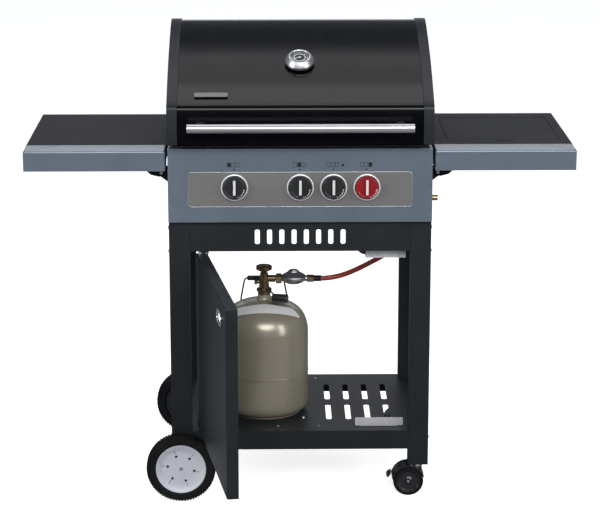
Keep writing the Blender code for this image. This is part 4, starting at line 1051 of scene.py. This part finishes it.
class GRILL_OT_lid(bpy.types.Operator):
    """Roll the lid's sheet, press its two ends and fix its blank badge"""

    bl_idname = "grill.lid"
    bl_label = "Lid"

    def execute(self, context):
        sizes = context.scene.grill_sizes
        # The rolled sheet lies a little inside the outline of the two ends.
        middle, inside = Vector((0.235, 0.93)), 0.985
        line = [middle + inside * (point - middle) for point in smooth_line(LID_OUTLINE, 5)]
        skin = swept_outline(line, -0.3000, 0.3000)
        bmesh.ops.solidify(skin, geom=skin.faces[:], thickness=sizes.sheet)
        piece("lid_skin_rolled", skin, "gloss_enamel", "lid", ["lid_skin"], 50)
        for word, _ in SIDES:
            formed(f"lid_side_{word}", "satin_black", 0.0030, 3, 40)
        self.badge()
        return {"FINISHED"}

    def badge(self):
        bm = new_shape()
        outline = rounded_outline(-0.041, -0.0075, 0.041, 0.0075, 0.0035)
        plate = add_prism(bm, "Z", -0.0002, 0.0016, outline, 0.0005)
        slope = Matrix.Rotation(radians(32.5), 4, "X")
        place = Matrix.Translation((-0.2175, 0.0033, 1.0386))
        bmesh.ops.transform(bm, matrix=place @ slope, verts=plate)
        piece("lid_badge_blank", bm, "brushed_steel", "lid")


class GRILL_OT_lid_handle(bpy.types.Operator):
    """Fit the steel bar and its two stands to the lid"""

    bl_idname = "grill.lid_handle"
    bl_label = "Lid handle"

    def execute(self, context):
        radius = context.scene.grill_sizes.handle_radius
        bar = new_shape()
        left, right = ((x, HANDLE_FRONT, HANDLE_HEIGHT) for x in (-0.2745, 0.2745))
        add_rod(bar, left, right, radius, 0.0012, 48)
        piece("lid_handle_bar", bar, "bright_steel", "lid", ["lid_handle"], 30)
        black = new_shape()
        for _, side in SIDES:
            near, far = ((side * x, HANDLE_FRONT, HANDLE_HEIGHT) for x in (0.2735, 0.2760))
            add_rod(black, near, far, radius - 0.0008, 0.0012, 40)
            low, high = sorted((side * 0.235, side * 0.251))
            add_block(black, (low, -0.0815, 0.9635), (high, -0.0375, 0.9805), 0.0025, 3)
            low, high = sorted((side * 0.231, side * 0.255))
            add_block(black, (low, -0.0420, 0.9590), (high, -0.0365, 0.9770), 0.002, 3)
        piece("lid_handle_stands", black, "satin_black", "lid")
        return {"FINISHED"}


class GRILL_OT_thermometer(bpy.types.Operator):
    """Build the thermometer with its bezel, dial, scale and needle"""

    bl_idname = "grill.thermometer"
    bl_label = "Thermometer"

    def execute(self, context):
        bezel = new_shape()
        profile = [
            (0.0226, 0.0150), (0.0234, 0.0190), (0.0243, 0.0200), (0.0260, 0.0199), (0.0285, 0.0184),
            (0.0335, 0.0118), (0.0360, 0.0078), (0.0365, 0.0065), (0.0365, 0.0016), (0.0226, 0.0016),
            (0.0226, 0.0150),
        ]
        add_lathe(bezel, GAUGE_CENTRE, GAUGE_FACING, profile, 96)
        piece("thermometer_bezel", bezel, "bright_steel", "lid", ["thermometer"], 30)
        dial = new_shape()
        plate = [(0, 0.0152), (0.0227, 0.0152), (0.0227, 0.0030), (0, 0.0030)]
        add_lathe(dial, GAUGE_CENTRE, GAUGE_FACING, plate, 64)
        probe = [(0, 0.0030), (0.005, 0.0030), (0.005, -0.040), (0, -0.042)]
        add_lathe(dial, GAUGE_CENTRE, GAUGE_FACING, probe, 24)
        piece("thermometer_dial", dial, "dial_grey", "lid")
        self.scale()
        return {"FINISHED"}

    def scale(self):
        bm = new_shape()
        for i in range(31):
            turn = radians(-45 + 270 * i / 30)
            long = i % 5 == 0
            mark = add_block(bm, (0.0165 if long else 0.0190, -0.0005, 0.0150), (0.0212, 0.0005, 0.0156))
            bmesh.ops.rotate(bm, verts=mark, cent=(0, 0, 0), matrix=Matrix.Rotation(turn, 3, "Z"))
        circle = [(0.0130, 0.0150), (0.0150, 0.0150), (0.0150, 0.0153), (0.0130, 0.0153), (0.0130, 0.0150)]
        add_lathe(bm, (0, 0, 0), Z, circle, 64)
        needle = add_block(bm, (-0.005, -0.0008, 0.0160), (0.0185, 0.0008, 0.0166))
        bmesh.ops.rotate(bm, verts=needle, cent=(0, 0, 0), matrix=Matrix.Rotation(radians(205), 3, "Z"))
        pivot = [(0, 0.0175), (0.0018, 0.0175), (0.0026, 0.0168), (0.0026, 0.0150), (0, 0.0150)]
        add_lathe(bm, (0, 0, 0), Z, pivot, 24)
        aim(bm, bm.verts, GAUGE_FACING, GAUGE_CENTRE)
        piece("thermometer_scale", bm, "label_white", "lid")


# The side shelves and the side burner


class GRILL_OT_side_shelves(bpy.types.Operator):
    """Form the two folding side shelves, their fronts and their brackets"""

    bl_idname = "grill.side_shelves"
    bl_label = "Side shelves"

    def execute(self, context):
        sizes = context.scene.grill_sizes
        shift = Y * FRONT_Y
        for word, side in SIDES:
            formed(f"shelf_top_{word}", "shelf_grey", 0.0010, 3)
            low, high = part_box(f"shelf_fascia_{word}")
            front = folded_sheet(low - shift, high - shift, [-Z, Y], 0.0040, sizes.sheet, 5)
            piece(
                f"shelf_front_{word}", front, "blue_grey_metallic", f"shelf_{word}",
                [f"shelf_fascia_{word}"]
            )
            self.seam(word, side)
            self.bolts(word, side)
        return {"FINISHED"}

    def seam(self, word, side):
        """The mitred joint of the front's top, a hair proud of it."""
        bm = new_shape()
        near, far = side * (0.680 - 0.0795), side * 0.678
        outline = [
            (near, 0.0790), (near + side * 0.0014, 0.0790), (far, 0.0016), (far - side * 0.0014, 0.0016)
        ]
        add_prism(bm, "Z", 0.8985, 0.90015, outline)
        piece(f"shelf_mitre_{word}", bm, "satin_black", f"shelf_{word}")

    def bolts(self, word, side):
        bm = new_shape()
        for y, facing in ((0.083, -Y), (0.4475, Y)):
            nut = [(0, 0.0042), (0.0045, 0.0042), (0.0055, 0.003), (0.0055, 0), (0, 0)]
            add_lathe(bm, (side * 0.345, y, 0.829), facing, nut, 6)
            rivet = [(0, 0.0034), (0.0035, 0.0034), (0.0045, 0.002), (0.0045, 0), (0, 0)]
            add_lathe(bm, (side * 0.380, y, 0.870), facing, rivet, 16)
        piece(f"shelf_bolts_{word}", bm, "zinc", f"shelf_{word}")


class GRILL_OT_side_burner(bpy.types.Operator):
    """Form the side burner under its flat lid"""

    bl_idname = "grill.side_burner"
    bl_label = "Side burner"

    def execute(self, context):
        low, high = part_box("side_burner_lid")
        bm = new_shape()
        outline = rounded_outline(low.x, low.y - FRONT_Y, high.x, high.y - FRONT_Y, 0.006)
        add_prism(bm, "Z", low.z, high.z, outline, 0.0008, 3)
        piece("side_burner_cover", bm, "shelf_grey", "burner_lid", ["side_burner_lid"])
        formed("side_burner_bowl", "satin_black", 0.0004)
        formed("side_burner_head", "cast_iron", 0.0008, 3, 50)
        formed("side_burner_grid", "cast_iron", 0.0012, 3)
        return {"FINISHED"}


# The door and its catches


def swing_door(bm):
    """Turns a shape drawn on the shut door to where the open door holds it."""
    bmesh.ops.rotate(bm, verts=bm.verts, cent=DOOR_HINGE, matrix=Matrix.Rotation(-DOOR_OPEN, 3, "Z"))


class GRILL_OT_door(bpy.types.Operator):
    """Fold the cabinet door and fit its finger ring and hinge rod"""

    bl_idname = "grill.door"
    bl_label = "Door"

    def execute(self, context):
        sizes = context.scene.grill_sizes
        panel = folded_sheet((-0.2667, 0.0126, 0.177), (0.2673, 0.0406, 0.634), [Y], 0.0030, sizes.sheet, 5)
        swing_door(panel)
        door = piece("door_folded", panel, "anthracite_paint", "door", ["door_panel"])
        window = new_shape()
        add_prism(window, "Y", 0.000, 0.020, rounded_outline(0.140, 0.576, 0.198, 0.600, 0.0119, 8))
        swing_door(window)
        carve(door, window)
        self.ring()
        rod = new_shape()
        add_rod(
            rod, (DOOR_HINGE.x, DOOR_HINGE.y, 0.1740), (DOOR_HINGE.x, DOOR_HINGE.y, 0.6430), 0.003, 0.0008
        )
        piece("door_rod", rod, "zinc", "root", ["door_hinge_rod"])
        return {"FINISHED"}

    def ring(self):
        """A rounded chrome ring round the finger hole."""
        bm = new_shape()
        outline = rounded_outline(0.137, 0.573, 0.201, 0.603, 0.0149, 10)
        path = [(u, 0.0122, v) for u, v in outline]
        add_tube(bm, [*path, path[0], path[1]], 0.0026, 12)
        for vert in bm.verts:
            vert.co.y = 0.0110 + (vert.co.y - 0.0122) * 0.7
        swing_door(bm)
        piece("door_ring_chrome", bm, "chrome", "door", ["door_grip_ring"], 50)


class GRILL_OT_catches(bpy.types.Operator):
    """Bend the two door catches and fit the hinge block and spring beside the upper one"""

    bl_idname = "grill.catches"
    bl_label = "Catches"

    def execute(self, context):
        formed("door_catch_top", "galvanised", 0.0005)
        formed("door_catch_bottom", "galvanised", 0.0005)
        dark = new_shape()
        add_block(dark, (-0.252, 0.020, 0.6330), (-0.228, 0.044, 0.6425), 0.002, 3)
        wedge = [(0.1385, 0.6433), (0.1640, 0.6433), (0.1640, 0.6265), (0.1560, 0.6280), (0.1480, 0.6330)]
        add_prism(dark, "Y", 0.0435, 0.0458, wedge, 0.0006)
        piece("catch_springs", dark, "black_plastic", "root")
        bright = new_shape()
        for x in (-0.247, -0.233):
            add_screw(bright, (x, 0.020, 0.638), -Y, 0.0026, 0.0016)
        piece("catch_screws", bright, "zinc", "root")
        return {"FINISHED"}


# The gas cylinder, its valve and the regulator


class GRILL_OT_gas_cylinder(bpy.types.Operator):
    """Press the gas cylinder with its weld, blank label, collar and carrying bow"""

    bl_idname = "grill.gas_cylinder"
    bl_label = "Gas cylinder"

    def dome(self):
        radius = bpy.context.scene.grill_sizes.cylinder_radius
        points = [
            (0.021, 0.470), (0.040, 0.467), (0.068, 0.458), (0.092, 0.443), (0.106, 0.423), (0.1128, 0.400),
            (radius, 0.385)
        ]
        return smooth_line(points, 5)

    def execute(self, context):
        radius = context.scene.grill_sizes.cylinder_radius
        weld = [
            (radius, 0.2840), (radius + 0.0009, 0.2825), (radius + 0.0009, 0.2812),
            (radius - 0.0014, 0.2804), (radius - 0.0014, 0.2792), (radius, 0.2784),
        ]
        foot = [
            (radius, 0.205), (0.1130, 0.194), (0.1100, 0.186), (0.1045, 0.1805), (0.0990, 0.1775),
            (0.0975, 0.1765), (0.0975, 0.1740), (0.0950, 0.1737),
        ]
        profile = [
            (0.0, 0.491), (0.0145, 0.491), (0.0158, 0.484), (0.0170, 0.4760), (0.0188, 0.4715),
            *self.dome(), *weld, *foot, (0.0, 0.1760)
        ]
        bm = new_shape()
        add_lathe(bm, CYLINDER_AXIS, Z, profile, 112)
        piece("cylinder_pressed", bm, "cylinder_beige", "root", ["gas_cylinder"], 32)
        self.label()
        self.ring()
        self.bow()
        return {"FINISHED"}

    def label(self):
        """A blank label band on the front of the shoulder."""
        dome = self.dome()
        bm = new_shape()
        bmesh.ops.create_grid(bm, x_segments=48, y_segments=8, size=0.5)
        for vert in bm.verts:
            turn, across = 2 * vert.co.x, 2 * vert.co.y
            corner = max(0.0, abs(turn) - 0.95) / 0.05
            middle = 0.0410 + 0.0365 * turn**2
            reach = middle + across * (0.0195 - 0.0015 * turn**2) * (1 - 0.18 * corner)
            for a, b in zip(dome, dome[1:]):
                step = (b - a).length
                if reach <= step or b is dome[-1]:
                    spot = a.lerp(b, reach / step)
                    break
                reach -= step
            around = radians(-90 + 64 * turn)
            vert.co = ((spot.x + 0.0006) * cos(around), (spot.x + 0.0006) * sin(around), spot.y + 0.0006)
        bmesh.ops.translate(bm, verts=bm.verts, vec=CYLINDER_AXIS)
        turn_face_up(bm)
        bmesh.ops.solidify(bm, geom=bm.faces[:], thickness=0.0004)
        piece("cylinder_label_blank", bm, "label_white", "root")

    def ring(self):
        """The ring that the valve is screwed down on."""
        bm = new_shape()
        profile = [
            (0.0110, 0.4905), (0.0180, 0.4905), (0.0196, 0.4925), (0.0196, 0.4965), (0.0180, 0.4985),
            (0.0110, 0.4985), (0.0110, 0.4905)
        ]
        add_lathe(bm, CYLINDER_AXIS, Z, profile, 64)
        piece("cylinder_collar", bm, "bronze", "root")

    def bow(self):
        x, y = CYLINDER_AXIS.x, CYLINDER_AXIS.y + 0.036
        wire = new_shape()
        half = [(0.0610, 0.4520), (0.0592, 0.4680), (0.0520, 0.5060), (0.0500, 0.5125), (0.0450, 0.5160)]
        route = [(x - u, y, z) for u, z in half] + [(x + u, y, z) for u, z in reversed(half)]
        add_tube(wire, route, 0.0022, 14)
        piece("cylinder_bow", wire, "satin_black", "root", ["cylinder_handle"])
        grip = new_shape()
        add_block(grip, (x - 0.044, y - 0.0042, 0.5097), (x + 0.044, y + 0.0042, 0.5223), 0.003, 4)
        for i in range(9):
            left = x - 0.0345 + i * 0.0080
            add_block(grip, (left, y - 0.0046, 0.5105), (left + 0.0028, y + 0.0046, 0.5215), 0.0008)
        piece("cylinder_grip", grip, "black_plastic", "root")


def add_hex(bm, start, direction, across, length, chamfer=0.0008):
    """A six-sided nut, its rims chamfered."""
    radius = across / 1.732
    profile = [
        (0, 0), (radius - chamfer, 0), (radius, chamfer), (radius, length - chamfer),
        (radius - chamfer, length), (0, length)
    ]
    return add_lathe(bm, start, direction, profile, 6)


class GRILL_OT_valve(bpy.types.Operator):
    """Turn the cylinder valve, its handwheel, the regulator and its nuts"""

    bl_idname = "grill.valve"
    bl_label = "Valve and regulator"

    def execute(self, context):
        centre = Vector((CYLINDER_AXIS.x, CYLINDER_AXIS.y, VALVE_HEIGHT))
        self.body(centre)
        self.wheel(centre)
        self.regulator(centre)
        self.cap()
        return {"FINISHED"}

    def body(self, centre):
        bm = new_shape()
        stack = [
            (0, 0.0180), (0.0055, 0.0180), (0.006, 0.0175), (0.006, 0.016), (0.0095, 0.0155),
            (0.0105, 0.0145), (0.0105, 0.008), (0.0125, 0.0068), (0.013, 0.005), (0.013, -0.008),
            (0.0118, -0.0095), (0.0118, -0.0125), (0.0130, -0.0140), (0.013, -0.028), (0.0155, -0.0305),
            (0.0165, -0.0320), (0.0165, -0.0405), (0.0105, -0.0417), (0.0105, -0.056), (0, -0.056),
        ]
        add_lathe(bm, centre, Z, stack, 48)
        add_rod(bm, centre, centre + X * 0.0297, 0.0092, 0.0008, 32)
        low = centre - Z * 0.0085
        add_rod(bm, low - X * 0.010, low - X * 0.0190, 0.0052, 0.0008, 32)
        add_hex(bm, low - X * 0.0185, -X, 0.0135, 0.0065)
        piece("valve_body", bm, "bronze", "root", ["cylinder_valve"], 34)

    def wheel(self, centre):
        bm = new_shape()
        top = [
            (0, 0.0355), (0.0070, 0.0355), (0.0100, 0.0347), (0.0120, 0.0343), (0.0185, 0.0347),
            (0.0203, 0.0335), (0.0205, 0.0315), (0.0205, 0.0255), (0.0195, 0.0240), (0.0150, 0.0225),
            (0.0085, 0.0185), (0, 0.0185),
        ]
        add_lathe(bm, centre, Z, top, 48)
        bmesh.ops.recalc_face_normals(bm, faces=bm.faces)
        bm.normal_update()
        rim = []
        for face in bm.faces:
            spot = face.calc_center_median() - centre
            if abs(face.normal.z) < 0.3 and spot.to_2d().length > 0.019:
                if sector(spot, 24) % 4 < 2:
                    rim.append(face)
        bmesh.ops.inset_region(bm, faces=rim, thickness=0.0004, depth=-0.0014)
        piece("handwheel_lobed", bm, "bronze", "handwheel", ["valve_handwheel"], 34)

    def regulator(self, centre):
        middle = Vector((-0.0145, centre.y, centre.z))
        body = new_shape()
        saucer = [
            (0, 0.0225), (0.0115, 0.0225), (0.0132, 0.0215), (0.0138, 0.0200), (0.0142, 0.0180),
            (0.0185, 0.0160), (0.0285, 0.0100), (0.0312, 0.0080), (0.0320, 0.0062), (0.0320, 0.0046),
            (0.0306, 0.0038), (0.0306, 0.0030), (0.0320, 0.0022), (0.0320, 0.0006), (0.0308, -0.0020),
            (0.0260, -0.0075), (0.0180, -0.0115), (0.0120, -0.0130), (0, -0.0130),
        ]
        add_lathe(body, middle, Z, saucer, 72)
        add_rod(body, middle, middle - X * 0.034, 0.0080, 0.0006, 32)
        add_rod(body, middle, middle + X * 0.037, 0.0075, 0.0006, 32)
        piece("regulator_body", body, "zinc", "root", ["regulator"], 34)
        nuts = new_shape()
        for x in (-0.0598, -0.0205):
            add_rod(nuts, (x, centre.y, centre.z), (x + 0.0006, centre.y, centre.z), 0.0110, 0.0002, 24)
        add_hex(nuts, (-0.0600, centre.y, centre.z), X, 0.0235, 0.0150, 0.0012)
        add_hex(nuts, (0.0200, centre.y, centre.z), X, 0.0172, 0.0175, 0.0010)
        piece("gas_nuts", nuts, "brass", "root", (), 30)
        ferrule = new_shape()
        sleeve = [(0, 0), (0.0079, 0), (0.0082, 0.0010)]
        for i in range(5):
            start = 0.0022 + i * 0.0034
            sleeve += [
                (0.0082, start), (0.0076, start + 0.0008), (0.0076, start + 0.0016),
                (0.0082, start + 0.0024)
            ]
        sleeve += [(0.0082, 0.0192), (0.0078, 0.0200), (0, 0.0200)]
        add_lathe(ferrule, (0.0370, centre.y, centre.z), X, sleeve, 40)
        piece("hose_ferrule", ferrule, "satin_black", "root")
        top = new_shape()
        cap = [(0, 0.0022), (0.0060, 0.0022), (0.0078, 0.0012), (0.0082, 0), (0, 0)]
        add_lathe(top, middle + Z * 0.0222, Z, cap, 40)
        piece("regulator_cap", top, "zinc", "root")

    def cap(self):
        """The valve's dust cap, hung on its strap over the shoulder."""
        bm = new_shape()
        add_rod(bm, (-0.0690, 0.148, 0.4865), (-0.0300, 0.138, 0.4865), 0.0115, 0.002, 40)
        strap = [
            (-0.0860, 0.186, 0.4990), (-0.0800, 0.176, 0.5000), (-0.0720, 0.165, 0.4975),
            (-0.0660, 0.156, 0.4930)
        ]
        add_tube(bm, smooth_line(strap, 5), 0.0022, 10)
        piece("valve_dust_cap", bm, "black_plastic", "root")


# The gas rail, the firebox and the cooking parts


class GRILL_OT_cooking_parts(bpy.types.Operator):
    """Form the firebox, burners, grates, rack, tray and gas rail"""

    bl_idname = "grill.cooking_parts"
    bl_label = "Cooking parts"

    def execute(self, context):
        formed("firebox", "satin_black", 0.0006)
        for place in ("left", "middle", "right"):
            formed(f"burner_{place}", "brushed_steel", 0.0004, 2, 50)
        formed("flame_tamers", "brushed_steel", 0.0004)
        formed("cooking_grate", "cast_iron", 0.0014, 3)
        formed("griddle_plate", "cast_iron", 0.0012, 3)
        formed("warming_rack", "chrome", 0.0009, 2)
        formed("grease_tray", "zinc", 0.0004)
        formed("gas_manifold", "brass", 0.0005, 2, 50)
        return {"FINISHED"}


OPERATORS = (
    GRILL_OT_camera, GRILL_OT_gas_hose, GRILL_OT_stage, GRILL_OT_cart, GRILL_OT_wheels, GRILL_OT_casters,
    GRILL_OT_control_panel, GRILL_OT_knobs, GRILL_OT_lid, GRILL_OT_lid_handle, GRILL_OT_thermometer,
    GRILL_OT_side_shelves, GRILL_OT_side_burner, GRILL_OT_door, GRILL_OT_catches, GRILL_OT_gas_cylinder,
    GRILL_OT_valve, GRILL_OT_cooking_parts,
)


class GRILL_PT_parts(bpy.types.Panel):
    """Lists the grill's pieces, sizes and colours"""

    bl_idname = "GRILL_PT_parts"
    bl_label = "Gas barbecue grill"
    bl_space_type = "VIEW_3D"
    bl_region_type = "UI"
    bl_category = "Grill"

    def draw(self, context):
        for operator in OPERATORS:
            self.layout.operator(operator.bl_idname)
        for group in (context.scene.grill_sizes, context.scene.grill_colours):
            box = self.layout.box()
            for name in group.__annotations__:
                box.prop(group, name)


CLASSES = (GrillSizes, GrillColours, *OPERATORS, GRILL_PT_parts)


def register():
    for made in CLASSES:
        bpy.utils.register_class(made)
    bpy.types.Scene.grill_sizes = PointerProperty(type=GrillSizes)
    bpy.types.Scene.grill_colours = PointerProperty(type=GrillColours)


def unregister():
    del bpy.types.Scene.grill_sizes
    del bpy.types.Scene.grill_colours
    for made in reversed(CLASSES):
        bpy.utils.unregister_class(made)


def main():
    register()
    for operator in OPERATORS:
        group, name = operator.bl_idname.split(".")
        getattr(getattr(bpy.ops, group), name)()


if __name__ == "__main__":
    main()
